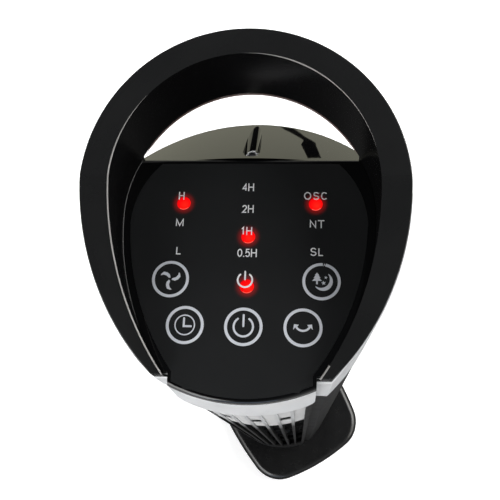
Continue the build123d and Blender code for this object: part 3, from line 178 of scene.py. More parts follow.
def bump(tree, height, strength, distance, base=None):
    made = node(tree, "ShaderNodeBump", {"Height": height, "Strength": strength,
                                         "Distance": distance})
    if base is not None:
        tree.links.new(base, made.inputs["Normal"])
    return made.outputs["Normal"]


def plastic(name, colour, other, rough, grain=0.0, grain_scale=1500.0, wave=0.0,
            specular=0.5):
    """Moulded plastic: slight colour drift, uneven gloss, optional fine grain."""
    material, tree, shader = new_material(name)
    drift = spread(tree, noise(tree, 24.0, 4.0), 0.0, 1.0)
    tree.links.new(between(tree, drift, colour, other), shader.inputs["Base Color"])
    smudge = noise(tree, 55.0, 5.0)
    tree.links.new(spread(tree, smudge, rough[0], rough[1]), shader.inputs["Roughness"])
    shader.inputs["Specular IOR Level"].default_value = specular
    normal = None
    if wave:
        normal = bump(tree, noise(tree, 18.0, 1.0), 1.0, wave)
    if grain:
        normal = bump(tree, noise(tree, grain_scale, 2.0), 0.6, grain, normal)
    if normal is not None:
        tree.links.new(normal, shader.inputs["Normal"])
    return material


def metal(name, colour, other, rough, stretch=(1, 1, 1), scale=400.0, distance=0.00002):
    """Bare metal with fine marks along or across it."""
    material, tree, shader = new_material(name)
    marks = noise(tree, scale, 4.0, stretch)
    tree.links.new(between(tree, spread(tree, marks, 0, 1), colour, other),
                   shader.inputs["Base Color"])
    shader.inputs["Metallic"].default_value = 1.0
    tree.links.new(spread(tree, marks, rough[0], rough[1]), shader.inputs["Roughness"])
    tree.links.new(bump(tree, marks, 0.5, distance), shader.inputs["Normal"])
    return material


HALO, HALO_FALL = 0.16, 2.2           # strength of a lamp's halo, and how fast it falls off
HALO_FROM, HALO_TO = 3.0, 8.0         # its inner and outer radius, in millimetres


def lens_material():
    """Gloss black touch sheet; a red halo shines through round each lit lamp."""
    material = plastic("lens_sheet", (0.0168, 0.0176, 0.0182), (0.0200, 0.0206, 0.0213),
                       (0.30, 0.38), specular=0.12)
    tree, shader = nodes_of(material)
    where = place_in(tree)
    total = None
    for u, v in LAMP_SPOTS:
        gap = node(tree, "ShaderNodeVectorMath", {0: where, 1: on_panel(u, v)},
                   operation="DISTANCE").outputs["Value"]
        glow = node(tree, "ShaderNodeMapRange",
                    {"Value": gap, "From Min": HALO_FROM * MM, "From Max": HALO_TO * MM,
                     "To Min": 1.0, "To Max": 0.0}, interpolation_type="SMOOTHERSTEP")
        glow = calc(tree, "POWER", glow.outputs["Result"], HALO_FALL)
        total = glow if total is None else calc(tree, "ADD", total, glow)
    shader.inputs["Emission Color"].default_value = (1.0, 0.006, 0.004, 1)
    tree.links.new(calc(tree, "MULTIPLY", total, HALO), shader.inputs["Emission Strength"])
    return material


def lamp_material():
    """Lit red lamp: brighter towards its middle, which lies a little low and right."""
    material, tree, shader = new_material("lamp_lit")
    where = place_in(tree)
    nearest = None
    for u, v in LAMP_SPOTS:
        gap = node(tree, "ShaderNodeVectorMath", {0: where, 1: on_panel(u + 0.6, v - 0.9)},
                   operation="DISTANCE").outputs["Value"]
        nearest = gap if nearest is None else calc(tree, "MINIMUM", nearest, gap)
    ramp = node(tree, "ShaderNodeValToRGB",
                {"Fac": spread(tree, nearest, 0.0, 1.0, 0.0, 4.6 * MM)})
    stops = ramp.color_ramp.elements
    stops[0].color = (1.0, 0.018, 0.008, 1)
    stops[1].color = (0.62, 0.0, 0.002, 1)
    middle = stops.new(0.62)
    middle.color = (1.0, 0.002, 0.003, 1)
    tree.links.new(ramp.outputs["Color"], shader.inputs["Emission Color"])
    shader.inputs["Emission Strength"].default_value = 1.0
    shader.inputs["Base Color"].default_value = (0.2, 0.0, 0.0, 1)
    shader.inputs["Roughness"].default_value = 0.25
    return material


def glow_material(name, colour, strength=0.9):
    """Even glow of one colour."""
    material, _, shader = new_material(name)
    shader.inputs["Emission Color"].default_value = (*colour, 1)
    shader.inputs["Emission Strength"].default_value = strength
    shader.inputs["Base Color"].default_value = (0, 0, 0, 1)
    shader.inputs["Specular IOR Level"].default_value = 0.0
    return material


SILVER_HALF = 30.2 * MM               # the bars stand within this of the middle
# Heights below the grille's top over which the silver fades out: a painted reflection, the
# lower bars showing the dark base.
SILVER_FROM, SILVER_FULL = GRILLE_TOP - 0.20, GRILLE_TOP - 0.11


def grille_material():
    """Black gloss frame; the bars between the stiles are silver paint near the top, fading to
    black further down; the fade is a painted reflection of the dark base.
    """
    material = plastic("grille_gloss", (0.017, 0.017, 0.0175), (0.021, 0.021, 0.0215),
                       (0.3, 0.4))
    tree, shader = nodes_of(material)
    place = node(tree, "ShaderNodeSeparateXYZ", {0: place_in(tree)})
    aside = calc(tree, "ABSOLUTE", place.outputs["X"])
    inside = calc(tree, "LESS_THAN", aside, SILVER_HALF)
    up = spread(tree, place.outputs["Z"], 0.0, 1.0, SILVER_FROM, SILVER_FULL)
    colour = mix(tree, "RGBA", calc(tree, "MULTIPLY", inside, up),
                 fed_by(shader, "Base Color"), (0.62, 0.63, 0.64, 1))
    tree.links.new(colour, shader.inputs["Base Color"])
    return material


def ring_material():
    """Satin on top; polished on the walls, edges and shoulder, whose colour is painted darker
    as shade.
    """
    material = plastic("ring_satin", (0.0125, 0.0128, 0.013), (0.0165, 0.0168, 0.017),
                       (0.10, 0.16))
    tree, shader = nodes_of(material)
    facing = node(tree, "ShaderNodeSeparateXYZ", {0: place_in(tree, "Normal")}).outputs["Z"]
    upward = spread(tree, facing, 0.0, 1.0, 0.86, 0.92)
    wall_rough, shoulder_rough = 0.22, 0.02
    polish = spread(tree, facing, wall_rough, shoulder_rough, 0.15, 0.3)
    tree.links.new(mix(tree, "FLOAT", upward, polish, fed_by(shader, "Roughness")),
                   shader.inputs["Roughness"])
    # Painted shade: faces that do not face up get a far darker base colour.
    colour = mix(tree, "RGBA", upward, (0.0026, 0.0026, 0.0028, 1),
                 fed_by(shader, "Base Color"))
    tree.links.new(colour, shader.inputs["Base Color"])
    return material


def screw_head_material():
    """Painted highlight as a pale outer band on the head, painted shade as a greyer middle."""
    material = plastic("rear_screw_painted_light", (0.80, 0.80, 0.82), (0.88, 0.88, 0.90), (0.3, 0.4))
    tree, shader = nodes_of(material)
    flat = node(tree, "ShaderNodeVectorMath", {0: place_in(tree), 1: (1.0, 1.0, 0.0)},
                operation="MULTIPLY").outputs["Vector"]
    reach = node(tree, "ShaderNodeVectorMath", {0: flat, 1: (0, SCREW_Y, 0)},
                 operation="DISTANCE").outputs["Value"]
    # Painted highlight: pale beyond 2 mm from the axis; painted shade within.
    painted_highlight = spread(tree, reach, 0.0, 1.0, 1.6 * MM, 2.0 * MM)
    colour = mix(tree, "RGBA", painted_highlight, (0.25, 0.25, 0.26, 1), fed_by(shader, "Base Color"))
    tree.links.new(colour, shader.inputs["Base Color"])
    return material


MATERIALS = {
    "ring_black": ring_material(),
    "deck_black": plastic("deck_gloss", (0.0030, 0.0031, 0.0034), (0.0038, 0.0039, 0.0042),
                          (0.04, 0.08)),
    "lens_black": lens_material(),
    "base_black": plastic("base_gloss", (0.008, 0.008, 0.0081), (0.010, 0.010, 0.0101),
                          (0.2, 0.3)),
    "body_black": plastic("body_gloss", (0.011, 0.011, 0.012), (0.014, 0.014, 0.0145),
                          (0.3, 0.4), wave=0.00004),
    "plate_black": plastic("plate_matte", (0.018, 0.018, 0.018), (0.024, 0.024, 0.024),
                           (0.5, 0.65), grain=0.00003),
    "silver_plastic": plastic("silver_paint", (0.80, 0.81, 0.825), (0.86, 0.87, 0.885),
                              (0.28, 0.4), grain=0.00001, grain_scale=3000.0),
    "grille_black": grille_material(),
    "grey_plastic": plastic("grey_moulded", (0.5, 0.51, 0.52), (0.56, 0.57, 0.58),
                            (0.4, 0.5), grain=0.00001),
    "blower_black": plastic("blower_moulded", (0.014, 0.014, 0.015), (0.02, 0.02, 0.021),
                            (0.32, 0.46), grain=0.00001),
    "rubber": plastic("rubber", (0.012, 0.012, 0.012), (0.02, 0.02, 0.02), (0.6, 0.8),
                      grain=0.00004),
    "screw_steel": metal("screw_zinc", (0.62, 0.62, 0.64), (0.72, 0.72, 0.74), (0.2, 0.34)),
    "white_acetal": plastic("acetal", (0.72, 0.72, 0.69), (0.78, 0.78, 0.75), (0.3, 0.4)),
    "zinc_steel": metal("pressed_zinc", (0.42, 0.43, 0.45), (0.55, 0.56, 0.58),
                        (0.25, 0.45), scale=120.0),
    "core_steel": metal("laminations", (0.16, 0.165, 0.17), (0.34, 0.35, 0.36),
                        (0.3, 0.5), (1, 1, 40), 60.0, 0.0001),
    "copper_wire": metal("copper_winding", (0.42, 0.14, 0.045), (0.62, 0.24, 0.08),
                         (0.25, 0.4), (1, 1, 25), 90.0, 0.0002),
    "bearing_bronze": metal("sintered_bronze", (0.42, 0.26, 0.10), (0.52, 0.33, 0.14),
                            (0.35, 0.5)),
    "board_green": plastic("solder_resist", (0.012, 0.10, 0.035), (0.02, 0.14, 0.05),
                           (0.25, 0.35)),
    "part_plastic": plastic("component_plastic", (0.02, 0.02, 0.022), (0.05, 0.05, 0.055),
                            (0.35, 0.5)),
    "red_lamp": plastic("lamp_body", (0.42, 0.01, 0.008), (0.5, 0.014, 0.01), (0.12, 0.2)),
    "foam_grey": plastic("foam", (0.06, 0.06, 0.062), (0.09, 0.09, 0.092), (0.8, 0.95),
                         grain=0.0002, grain_scale=1400.0),
    "ribbon_white": plastic("flat_cable", (0.55, 0.55, 0.54), (0.64, 0.64, 0.63),
                            (0.35, 0.45)),
}
PRINT = plastic("legend_print", (0.66, 0.69, 0.74), (0.72, 0.74, 0.79), (0.45, 0.6))
PRINT_PALE = plastic("letter_print", (0.88, 0.89, 0.90), (0.94, 0.94, 0.95), (0.45, 0.6))
LAMP = lamp_material()
# Painted highlight: the glowing arc along each lamp's lower edge.
PAINTED_GLINT = glow_material("lamp_glint", (1.0, 0.22, 0.16))
NODE_LOOKS = {"rear_screw": screw_head_material()}


def dress_cad():
    """Every CAD piece gets the material of its slot, or its own look where one is given."""
    slots = {part["node"]: part["material_slot"] for part in frame["record"]["subparts"]}
    for name, piece in NODES.items():
        material = NODE_LOOKS.get(name, MATERIALS[slots[name]])
        if not piece.data.materials:
            piece.data.materials.append(material)
        for held in piece.material_slots:
            held.material = material


# ---- Flat printed pieces -------------------------------------------------------------------
PRINT_W = (0.06, 0.11)     # underside and top of the print, above the lens


def panel_piece(name, shapes, material, low, high):
    """Closed outlines in panel millimetres, each stood up into a thin solid."""
    work = bmesh.new()
    for outline in shapes:
        bottom = [work.verts.new(on_panel(u, v, low)) for u, v in outline]
        top = [work.verts.new(on_panel(u, v, high)) for u, v in outline]
        work.faces.new(top)
        work.faces.new(list(reversed(bottom)))
        for i in range(len(outline)):
            j = (i + 1) % len(outline)
            work.faces.new((bottom[i], bottom[j], top[j], top[i]))
    head_piece(name, work, [material])


def arc_points(u, v, radius, start, end, count, radius_v=None):
    """Points along a circle or an upright ellipse."""
    radius_v = radius if radius_v is None else radius_v
    turns = [radians(start + (end - start) * i / count) for i in range(count + 1)]
    return [(u + radius * cos(a), v + radius_v * sin(a)) for a in turns]


SHARPEST_MITRE = 0.42      # cosine at which a mitred corner stops growing


def ribbon(points, width):
    """A drawn line of even width with mitred bends, as a row of four-sided pieces."""
    closed = points[0] == points[-1]
    count = len(points)
    sides = []
    for i, (u, v) in enumerate(points):
        before = points[i - 1] if i else (points[-2] if closed else None)
        after = points[i + 1] if i + 1 < count else (points[1] if closed else None)
        ways = []
        for start, end in ((before, (u, v)), ((u, v), after)):
            if start is not None and end is not None:
                size = hypot(end[0] - start[0], end[1] - start[1])
                ways.append(((end[0] - start[0]) / size, (end[1] - start[1]) / size))
        along = (sum(w[0] for w in ways), sum(w[1] for w in ways))
        size = max(hypot(*along), 0.2)
        normal = (-along[1] / size, along[0] / size)
        cosine = -normal[0] * ways[0][1] + normal[1] * ways[0][0]
        reach = width / 2 / max(cosine, SHARPEST_MITRE)
        sides.append(((u + normal[0] * reach, v + normal[1] * reach),
                      (u - normal[0] * reach, v - normal[1] * reach)))
    return [(a[0], a[1], b[1], b[0]) for a, b in zip(sides, sides[1:])]


def dot(u, v, radius, count=16):
    return arc_points(u, v, radius, 0, 360 - 360 / count, count - 1)


def round_ended(points, width):
    """A drawn line with round ends."""
    return ribbon(points, width) + [dot(*points[0], width / 2), dot(*points[-1], width / 2)]


def moved(shapes, u, v, turn=0.0, scale=1.0):
    c, s = cos(radians(turn)) * scale, sin(radians(turn)) * scale
    return [[(u + x * c - y * s, v + x * s + y * c) for x, y in shape] for shape in shapes]


def ring(radius, width):
    """A closed ring; radius is its outer one."""
    return ribbon(arc_points(0, 0, radius - width / 2, 0, 360, 72), width)


# Key symbols, each about its own centre, in millimetres
def power_symbol(radius, width, gap, top, foot):
    """Open circle with a stem; gap is the angle from the top to each end."""
    arc = arc_points(0, 0, radius - width / 2, 90 + gap, 450 - gap, 54)
    return round_ended(arc, width) + round_ended([(0, top), (0, foot)], width)


def fan_symbol():
    """Three swept blades."""
    blade = [(0.7, -0.4), (2.3, -0.75), (3.8, -0.05), (4.9, 1.35), (4.5, 3.1), (3.9, 3.6),
             (3.65, 2.25), (2.7, 1.1), (0.8, 0.4)]
    return [shape for k in range(3) for shape in moved([blade], 0, 0, 120 * k - 2)]


def clock_symbol():
    hands = ribbon([(-0.5, 3.2), (-0.5, -0.6), (3.0, -0.6)], 1.0)
    return ring(5.05, 0.62) + hands + [dot(-0.5, 3.2, 0.5), dot(3.0, -0.6, 0.5)]


def swing_symbol():
    """Shallow bow with an arrow head at each end."""
    bow = ribbon(arc_points(0, 2.25, 3.75, 208, 332, 24), 1.0)
    head = [(-4.25, 1.6), (-1.95, 1.35), (-2.7, 0.35), (-3.6, 0.1), (-4.65, -1.05)]
    return bow + [head, [(-u, v) for u, v in reversed(head)]]


def night_symbol():
    """Fir tree, crescent moon and two stars."""
    half = [(0.0, 4.45), (1.15, 3.05), (0.7, 3.05), (1.7, 1.75), (1.1, 1.75), (2.35, 0.3),
            (0.42, 0.3), (0.42, -1.4)]
    tree = [(-2.15 - x, y) for x, y in half] + [(-2.15 + x, y) for x, y in reversed(half[1:])]
    moon = arc_points(0.85, 0.0, 4.6, -145, 56, 30) + arc_points(-0.3, 1.15, 4.3, 36, -124, 30)
    star = [(r * cos(radians(90 + 36 * i)), r * sin(radians(90 + 36 * i)))
            for i, r in enumerate((1.2, 0.5) * 5)]
    return [tree, moon] + moved([star], 1.0, -0.75, 10) + moved([star], 2.1, 2.0, -8, 0.7)


RING_R = 9.25
RING_LINE = 1.42
KEYS = {"fan_key_print": ((-37.05, 22.8), fan_symbol()),
        "timer_key_print": ((-28.35, 0.2), clock_symbol()),
        "power_key_print": ((0.0, 0.0), power_symbol(5.15, 1.0, 36, 5.6, 0.3)),
        "swing_key_print": ((28.4, 0.2), swing_symbol())}
NIGHT_KEY = (37.05, 22.85)
POWER_MARK = (-0.1, 22.95)     # small power mark over its lamp


def printed_keys():
    low, high = PRINT_W
    for name, ((u, v), symbol) in KEYS.items():
        panel_piece(name, moved(ring(RING_R, RING_LINE) + symbol, u, v), PRINT,
                    low, high)
    open_ring = ribbon(arc_points(0, 0, RING_R - RING_LINE / 2, 86, 437, 70), RING_LINE)
    tick = [(1.75, 8.25), (0.95, 7.6), (1.35, 9.15)]
    panel_piece("night_key_print", moved(open_ring + [tick] + night_symbol(), *NIGHT_KEY),
                PRINT, low, high)
    small = moved(power_symbol(4.0, 0.85, 40, 4.3, 0.3), *POWER_MARK)
    panel_piece("power_lamp_print", small, PRINT_PALE, low, high)


# Letters as strokes: width in millimetres, then lines in a box from (0, 0) to (1, 1)
def bowl(u, v, radius_u, radius_v, start, end):
    return arc_points(u, v, radius_u, start, end, 20, radius_v)


GLYPHS = {
    "H": (2.4, [[(0, 0), (0, 1)], [(1, 0), (1, 1)], [(0, 0.52), (1, 0.52)]]),
    "M": (3.35, [[(0, 0), (0, 1), (0.5, 0.08), (1, 1), (1, 0)]]),
    "L": (2.0, [[(0, 1), (0, 0), (1, 0)]]),
    "N": (2.6, [[(0, 0), (0, 1), (1, 0), (1, 1)]]),
    "T": (2.6, [[(0, 1), (1, 1)], [(0.5, 1), (0.5, 0)]]),
    "O": (3.1, [bowl(0.5, 0.5, 0.5, 0.5, 0, 360)]),
    "C": (2.8, [bowl(0.5, 0.5, 0.5, 0.5, 42, 318)]),
    "S": (2.45, [bowl(0.5, 0.75, 0.46, 0.25, 12, 268) + bowl(0.5, 0.25, 0.5, 0.25, 88, -166)]),
    "0": (1.95, [bowl(0.5, 0.5, 0.5, 0.5, 0, 360)]),
    "1": (0.8, [[(0, 0.76), (1, 1), (1, 0)]]),
    "2": (1.9, [bowl(0.5, 0.72, 0.48, 0.28, 172, -32) + [(0, 0), (1, 0)]]),
    "4": (1.95, [[(0.74, 0), (0.74, 1), (0, 0.28), (1, 0.28)]]),
    "5": (1.9, [[(0.94, 1), (0.2, 1), (0.06, 0.52)] + bowl(0.48, 0.33, 0.5, 0.33, 128, -150)]),
    ".": (0.05, [[(0, 0), (1, 0)]]),
}
CAP_HEIGHT = 3.62              # between the middles of the lines
LINE = 0.58
LABELS = [("4H", -0.3, 69.95, 1.0), ("2H", -0.05, 58.15, 1.0), ("1H", -0.25, 46.4, 1.75),
          ("0.5H", 0.4, 34.95, 0.95), ("H", -34.5, 65.1, 1.0), ("M", -34.45, 50.45, 1.0),
          ("L", -33.95, 35.75, 1.0), ("OSC", 34.1, 65.4, 1.5), ("NT", 34.8, 50.4, 1.45),
          ("SL", 34.8, 35.95, 1.45)]


def printed_letters():
    """Function letters, as thin solids standing on the lens; v is their foot."""
    low, high = PRINT_W
    for text, middle, foot, gap in LABELS:
        width = sum(GLYPHS[c][0] for c in text) + gap * (len(text) - 1)
        left = middle - width / 2
        shapes = []
        for c in text:
            wide, lines = GLYPHS[c]
            for line in lines:
                points = [(left + x * wide, foot + y * CAP_HEIGHT) for x, y in line]
                if len(points) == 2:
                    points = square_ended(*points)
                shapes += ribbon(points, LINE)
            left += wide + gap
        panel_piece("print_" + text.replace(".", "_"), shapes, PRINT_PALE,
                    low, high)


def square_ended(start, end):
    """Both ends drawn out by half the line."""
    size = hypot(end[0] - start[0], end[1] - start[1])
    du, dv = ((end[0] - start[0]) / size * LINE / 2, (end[1] - start[1]) / size * LINE / 2)
    return [(start[0] - du, start[1] - dv), (end[0] + du, end[1] + dv)]


# ---- Thin beads round the ring: painted highlights, a painted reflection and a dark foot ----
# Half width, side radius, waist and draft of the ring's inside, at RIM_TOP, and outside
RIM_TOP = 738.0
INSIDE = (61.9, 134.3, 16.5, radians(2.4))
OUTSIDE = (76.0, 111.5, 15.0, 0.0)
CREASE = (20.5, 728.2, 0.39, 0.185)        # y, z, then the slopes ahead and behind
GRIP = (47.0, 695.7, 0.25)                 # just over the handle bar's underside, likewise


def ring_top(y):
    crease_y, crease_z, ahead, behind = CREASE
    return crease_z + (ahead if y < crease_y else behind) * (y - crease_y)


def panel_height(y):
    return (POWER_KEY.z + (y * MM - POWER_KEY.y) * tan(PANEL_TILT)) / MM


def grip_height(y):
    return GRIP[1] + GRIP[2] * (y - GRIP[0])


def ring_point(plan, turn, height, out):
    """A point on a side of the ring; turn is 0 at the right, 90 at the rear, and below 0 or
    above 180 it is how far, in millimetres, the point lies ahead of the waist."""
    half, side, waist, draft = plan
    a = radians(turn)
    behind = 0 <= turn <= 180
    ahead = -turn if turn < 0 else turn - 180
    z = height(waist + (half * sin(a) if behind else -ahead))
    grow = (RIM_TOP - z) * tan(draft) + out
    if behind:
        reach = half + grow
        return Vector((reach * cos(a), waist + reach * sin(a), z))
    x = sqrt((side + grow) ** 2 - ahead * ahead) - (side - half)
    return Vector((x if turn < 0 else -x, waist - ahead, z))


BEAD_STEPS, BEAD_SIDES = 120, 10
EDGE_ROUND = 0.47


def rim_bead(name, plan, turns, height, out, radius, fade, material):
    """A fine round bead along a side of the ring, thinner towards its ends; fade is the
    share of its length that each end takes."""
    first, last = turns
    path = [ring_point(plan, first + (last - first) * i / BEAD_STEPS, height, out) * MM
            for i in range(BEAD_STEPS + 1)]
    work = bmesh.new()
    rows = []
    for i, spot in enumerate(path):
        ahead = (path[min(i + 1, BEAD_STEPS)] - path[max(i - 1, 0)]).normalized()
        side = ahead.cross(Vector((0, 0, 1))).normalized()
        over = side.cross(ahead)
        ends = (i / BEAD_STEPS, (BEAD_STEPS - i) / BEAD_STEPS)
        share = min([1.0] + [gone / part for gone, part in zip(ends, fade) if part])
        size = radius * MM * max(share, 0.05)
        rows.append([work.verts.new(spot + side * (size * cos(a)) + over * (size * sin(a)))
                     for a in turns_of(BEAD_SIDES)])
    tube_rows(work, rows)
    work.faces.new(rows[0])
    work.faces.new(list(reversed(rows[-1])))
    head_piece(name, work, [material])


def edge_height(y):
    """The middle of the rounding along the ring's outer edge."""
    return ring_top(y) - EDGE_ROUND


def ring_beads():
    # The pale beads are painted highlights along the ring's edges, put only where light would
    # catch them; the pinkish bead under the handle bar is a painted reflection; the foot bead
    # is plain dark gloss.
    painted_highlight = plastic("rim_bead", (0.33, 0.32, 0.31), (0.38, 0.37, 0.355), (0.2, 0.3))
    foot = plastic("foot_bead", (0.022, 0.022, 0.023), (0.03, 0.03, 0.031), (0.2, 0.3))
    painted_reflection = plastic("grip_painted_reflection", (0.20, 0.135, 0.12), (0.25, 0.17, 0.15), (0.3, 0.4))
    rim_bead("rim_painted_highlight_left", INSIDE, (135, 262), ring_top, 0.1, 0.36, (0.25, 0.0), painted_highlight)
    rim_bead("tip_painted_highlight_right", INSIDE, (-76, -82), ring_top, 0.1, 0.4, (0.0, 0.0), painted_highlight)
    rim_bead("rim_painted_highlight_right", INSIDE, (92, 12), ring_top, 0.1, 0.27, (0.3, 0.6), painted_highlight)
    rim_bead("edge_painted_highlight_right", OUTSIDE, (25, -66), edge_height, -0.45, 0.4, (0.3, 0.1), painted_highlight)
    rim_bead("foot_bead_left", INSIDE, (152, 240), panel_height, 0.0, 0.27, (0.03, 0.2), foot)
    rim_bead("grip_painted_reflection", INSIDE, (150, 30), grip_height, 0.15, 0.45, (0.05, 0.05), painted_reflection)


BAR_W, BAR_PITCH, BARS = 2.2, 9.2, 6     # the grille's upright bars
FACE_RADIUS, PANE_Y = 85.0, -76.0        # plan radius of the grille; y of the middle pane
PANE_T, PANE_FIT = 0.6, 0.05             # thickness, and clearance beside each bar
OPENING_HALF = 30.9
# Foot, top, and 1 for a pane in every gap or 2 for every other gap
BAND_ROWS = ((578.0, 629.5, 1), (556.0, 578.0, 2), (520.0, 556.0, 1))
BOX_FACES = ((3, 2, 1, 0), (4, 5, 6, 7), (0, 1, 5, 4), (1, 2, 6, 5), (2, 3, 7, 6),
             (3, 0, 4, 7))


def pane_y(x):
    return PANE_Y + FACE_RADIUS - sqrt(FACE_RADIUS ** 2 - x * x)


def louvre_band():
    """Pale panes between the upper ends of the bars, with a row of small windows."""
    pale = plastic("pale_band", (0.62, 0.62, 0.62), (0.72, 0.72, 0.72), (0.35, 0.5))
    work = bmesh.new()
    half = (BAR_PITCH - BAR_W) / 2 - PANE_FIT
    for low, high, step in BAND_ROWS:
        for i in range(0, BARS + 1, step):
            middle = (i - BARS / 2) * BAR_PITCH
            left, right = max(middle - half, -OPENING_HALF), min(middle + half, OPENING_HALF)
            corners = [(x, pane_y(x) + depth, z) for depth in (0.0, PANE_T)
                       for x, z in ((left, low), (right, low), (right, high), (left, high))]
            verts = [work.verts.new(Vector(corner) * MM) for corner in corners]
            for face in BOX_FACES:
                work.faces.new([verts[k] for k in face])
    head_piece("louvre_band", work, [pale])


CAP_AT = Vector((0.2, SCREW_Y / MM, 685.8)) * MM
CAP_R, CAP_WIRE, CAP_DISC_R = 2.6, 0.6, 2.45
CAP_STEPS = 32


def rear_screw_cap():
    """A pale ring with a near-black disc inside it, over the screw in its groove: the ring a
    painted highlight, the disc painted shade.
    """
    highlight_paint = plastic("painted_highlight_cap", (0.90, 0.90, 0.92), (0.94, 0.94, 0.96), (0.2, 0.3))
    shade_paint = plastic("painted_shade_cap", (0.10, 0.10, 0.11), (0.14, 0.14, 0.15), (0.3, 0.4))
    work = bmesh.new()
    rows = []
    for a in turns_of(CAP_STEPS):
        outward = Vector((cos(a), sin(a), 0.0))
        rows.append([work.verts.new(CAP_AT + (outward * (CAP_R + CAP_WIRE * cos(b))
                                              + Vector((0, 0, CAP_WIRE * sin(b)))) * MM)
                     for b in turns_of(BEAD_SIDES)])
    tube_rows(work, rows, closed=True)
    disc = bmesh.ops.create_circle(work, cap_ends=True, radius=CAP_DISC_R * MM,
                                   segments=CAP_STEPS)
    bmesh.ops.translate(work, verts=disc["verts"], vec=CAP_AT)
    for face in work.faces:
        face.material_index = 0 if len(face.verts) == 4 else 1
    head_piece("rear_screw_cap", work, [highlight_paint, shade_paint])


def lit_lamps():
    """The four lit windows under the print, each with a painted highlight, a glowing arc,
    along its lower edge.
    """
    for i, (u, v) in enumerate(LAMP_SPOTS):
        panel_piece(f"lamp_window_{i + 1}", [dot(u, v, LAMP_R, 48)], LAMP,
                    0.01, 0.05)
        arc = ribbon(arc_points(u, v, LAMP_R - 0.22, 236, 318, 24), 0.2)
        panel_piece(f"lamp_glint_{i + 1}", arc, PAINTED_GLINT, 0.02, 0.055)


# ---- Studio ---------------------------------------------------------------------------------
# Plan outline, in metres, of the dark leg that the shoulder reflects
LEG = [(0.008, 1.461), (0.074, 1.456), (0.144, 1.488), (0.203, 1.501),
       (0.212, 1.522), (0.257, 1.595), (0.187, 1.651), (0.155, 1.598),
       (0.131, 1.561), (0.140, 1.521), (0.105, 1.508), (0.032, 1.480)]
FLOOR_HALF, FLOOR_LIFT = 6.0, 0.6
CARD_Z, LEG_Z = 0.012, 0.02              # heights of the cards that lie on the floor
SKY_R, SKY_STEPS = 4.0, 12
SKY_MIDDLE = Vector((0, 0, 0.7))
CAMERA_AT = Vector((26.94, -102.98, 971.04)) * MM
CAMERA_TO = Vector((1.61, -2.01, 690.0)) * MM
CAMERA_ROLL = radians(-12.473)
FOCAL_MM, SENSOR_MM = 43.2, 36.0


def add_camera():
    camera = bpy.data.cameras.new("camera")
    camera.lens = FOCAL_MM
    camera.sensor_width = SENSOR_MM
    camera.clip_start = 0.01
    thing = add_object("camera", camera)
    forward = (CAMERA_TO - CAMERA_AT).normalized()
    level = forward.cross(Vector((0, 0, 1))).normalized()
    up = level.cross(forward)
    right = level * cos(CAMERA_ROLL) + up * sin(CAMERA_ROLL)
    top = up * cos(CAMERA_ROLL) - level * sin(CAMERA_ROLL)
    turn = Matrix((right, top, -forward)).transposed().to_4x4()
    thing.matrix_world = Matrix.Translation(CAMERA_AT) @ turn
    bpy.context.scene.camera = thing


def area_light(name, place, target, size, power):
    """A square lamp aimed at target."""
    light = bpy.data.lights.new(name, "AREA")
    light.size = size
    light.energy = power
    thing = add_object(name, light)
    thing.location = place
    aim = Vector(target) - Vector(place)
    thing.rotation_euler = aim.to_track_quat("-Z", "Y").to_euler()
    return thing


def rectangle(left, right, front, back, z):
    return [(left, front, z), (right, front, z), (right, back, z), (left, back, z)]


def stage_mesh(name, corners, faces, material):
    mesh = bpy.data.meshes.new(name)
    mesh.from_pydata(corners, [], faces)
    mesh.materials.append(material)
    thing = add_object(name, mesh)
    return thing


def floor():
    """White floor, lifted for the camera and in reflections, but not as light."""
    material, tree, shader = new_material("floor_white")
    shader.inputs["Base Color"].default_value = (0.86, 0.86, 0.86, 1)
    shader.inputs["Roughness"].default_value = 0.9
    shader.inputs["Specular IOR Level"].default_value = 0.0
    path = node(tree, "ShaderNodeLightPath").outputs
    seen = calc(tree, "MAXIMUM", path["Is Camera Ray"], path["Is Glossy Ray"])
    seen = calc(tree, "MAXIMUM", seen, path["Is Transmission Ray"])
    shader.inputs["Emission Color"].default_value = (1, 1, 1, 1)
    tree.links.new(calc(tree, "MULTIPLY", seen, FLOOR_LIFT),
                   shader.inputs["Emission Strength"])
    corners = rectangle(-FLOOR_HALF, FLOOR_HALF, -FLOOR_HALF, FLOOR_HALF, 0)
    stage_mesh("floor", corners, [(0, 1, 2, 3)], material)


def card(name, corners, faces, colour, strength):
    """A studio card that is seen only in glossy surfaces."""
    thing = stage_mesh(name, corners, faces, glow_material(name, colour, strength))
    thing.visible_camera = False
    thing.visible_diffuse = False
    thing.visible_shadow = False


def floor_card(name, sides, colour, strength):
    """A card on the floor; sides are left, right, front and back."""
    card(name, rectangle(*sides, CARD_Z), [(0, 1, 2, 3)], colour, strength)


def sky_card(name, turns, heights, colour, strength):
    """A patch of sky between two bearings and two heights, in degrees."""
    corners, faces = [], []
    for i in range(SKY_STEPS + 1):
        for k in range(SKY_STEPS + 1):
            a = radians(turns[0] + (turns[1] - turns[0]) * i / SKY_STEPS)
            b = radians(heights[0] + (heights[1] - heights[0]) * k / SKY_STEPS)
            corners.append(Vector((cos(a) * cos(b), sin(a) * cos(b), sin(b))) * SKY_R
                           + SKY_MIDDLE)
    row = SKY_STEPS + 1
    for i in range(SKY_STEPS):
        for k in range(SKY_STEPS):
            at = i * row + k
            faces.append((at, at + 1, at + row + 1, at + row))
    card(name, corners, faces, colour, strength)


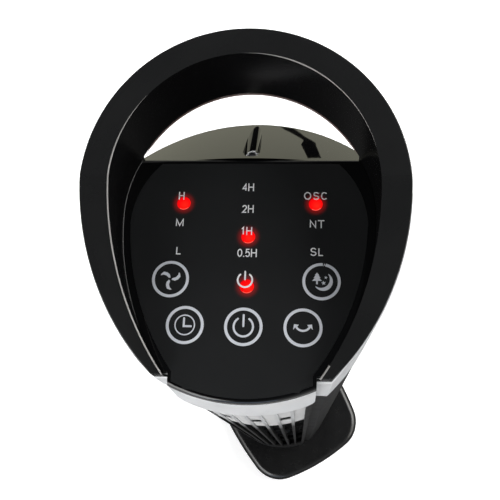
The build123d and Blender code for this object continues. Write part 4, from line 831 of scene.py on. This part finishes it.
def reflected_room():
    """What the gloss shows: window strips, and a floor behind with a dark leg on it."""
    sky_card("window_right", (-30, 50), (3, 32), (1.0, 0.97, 0.90), 4.0)
    sky_card("window_left", (-165, -100), (20, 42), (1.0, 0.97, 0.92), 1.5)
    sky_card("window_front", (-118, -80), (3, 17), (0.62, 0.76, 1.0), 2.2)
    floor_card("floor_behind", (-4, 4, 0.9, 2.3), (1.0, 0.99, 0.78), 0.60)
    floor_card("dark_mat", (-0.5, 0.6, -0.5, 0.9), (1.0, 1.0, 1.0), 0.05)
    floor_card("floor_beyond", (-4, 4, 2.3, 9), (0.0, 0.0, 0.0), 0.0)
    leg = [(x, y, LEG_Z) for x, y in LEG]
    card("dark_leg", leg, [tuple(range(len(leg)))], (0.0, 0.0, 0.0), 0.0)


def world():
    """Bright round the horizon, dim overhead, as in a room with pale walls."""
    made = bpy.data.worlds.new("room")
    made.use_nodes = True
    bpy.context.scene.world = made
    tree = made.node_tree
    height = node(tree, "ShaderNodeSeparateXYZ", {0: place_in(tree, "Generated")}).outputs["Z"]
    ramp = node(tree, "ShaderNodeValToRGB", {"Fac": height})
    stops = ramp.color_ramp.elements
    stops[0].color = (0.95, 0.95, 0.93, 1)
    stops[1].color = (0.05, 0.052, 0.056, 1)
    stops[0].position = 0.05
    stops[1].position = 0.8
    stops.new(0.45).color = (0.36, 0.365, 0.37, 1)
    tree.links.new(ramp.outputs["Color"], tree.nodes["Background"].inputs["Color"])
    tree.nodes["Background"].inputs["Strength"].default_value = 0.8


def studio():
    bpy.context.scene.view_settings.view_transform = "Standard"
    world()
    floor()
    reflected_room()
    area_light("key", (1.6, 0.5, 1.7), (0, 0, 0.6), 1.2, 27.0)
    area_light("fill", (-1.1, -1.5, 1.3), (0, 0, 0.5), 1.4, 27.0)
    back = area_light("back", (0.1, 1.9, 1.5), (0, 0, 0.7), 0.5, 30.0)
    back.visible_glossy = False


add_camera()
dress_cad()
printed_keys()
printed_letters()
lit_lamps()
ring_beads()
rear_screw_cap()
louvre_band()
studio()
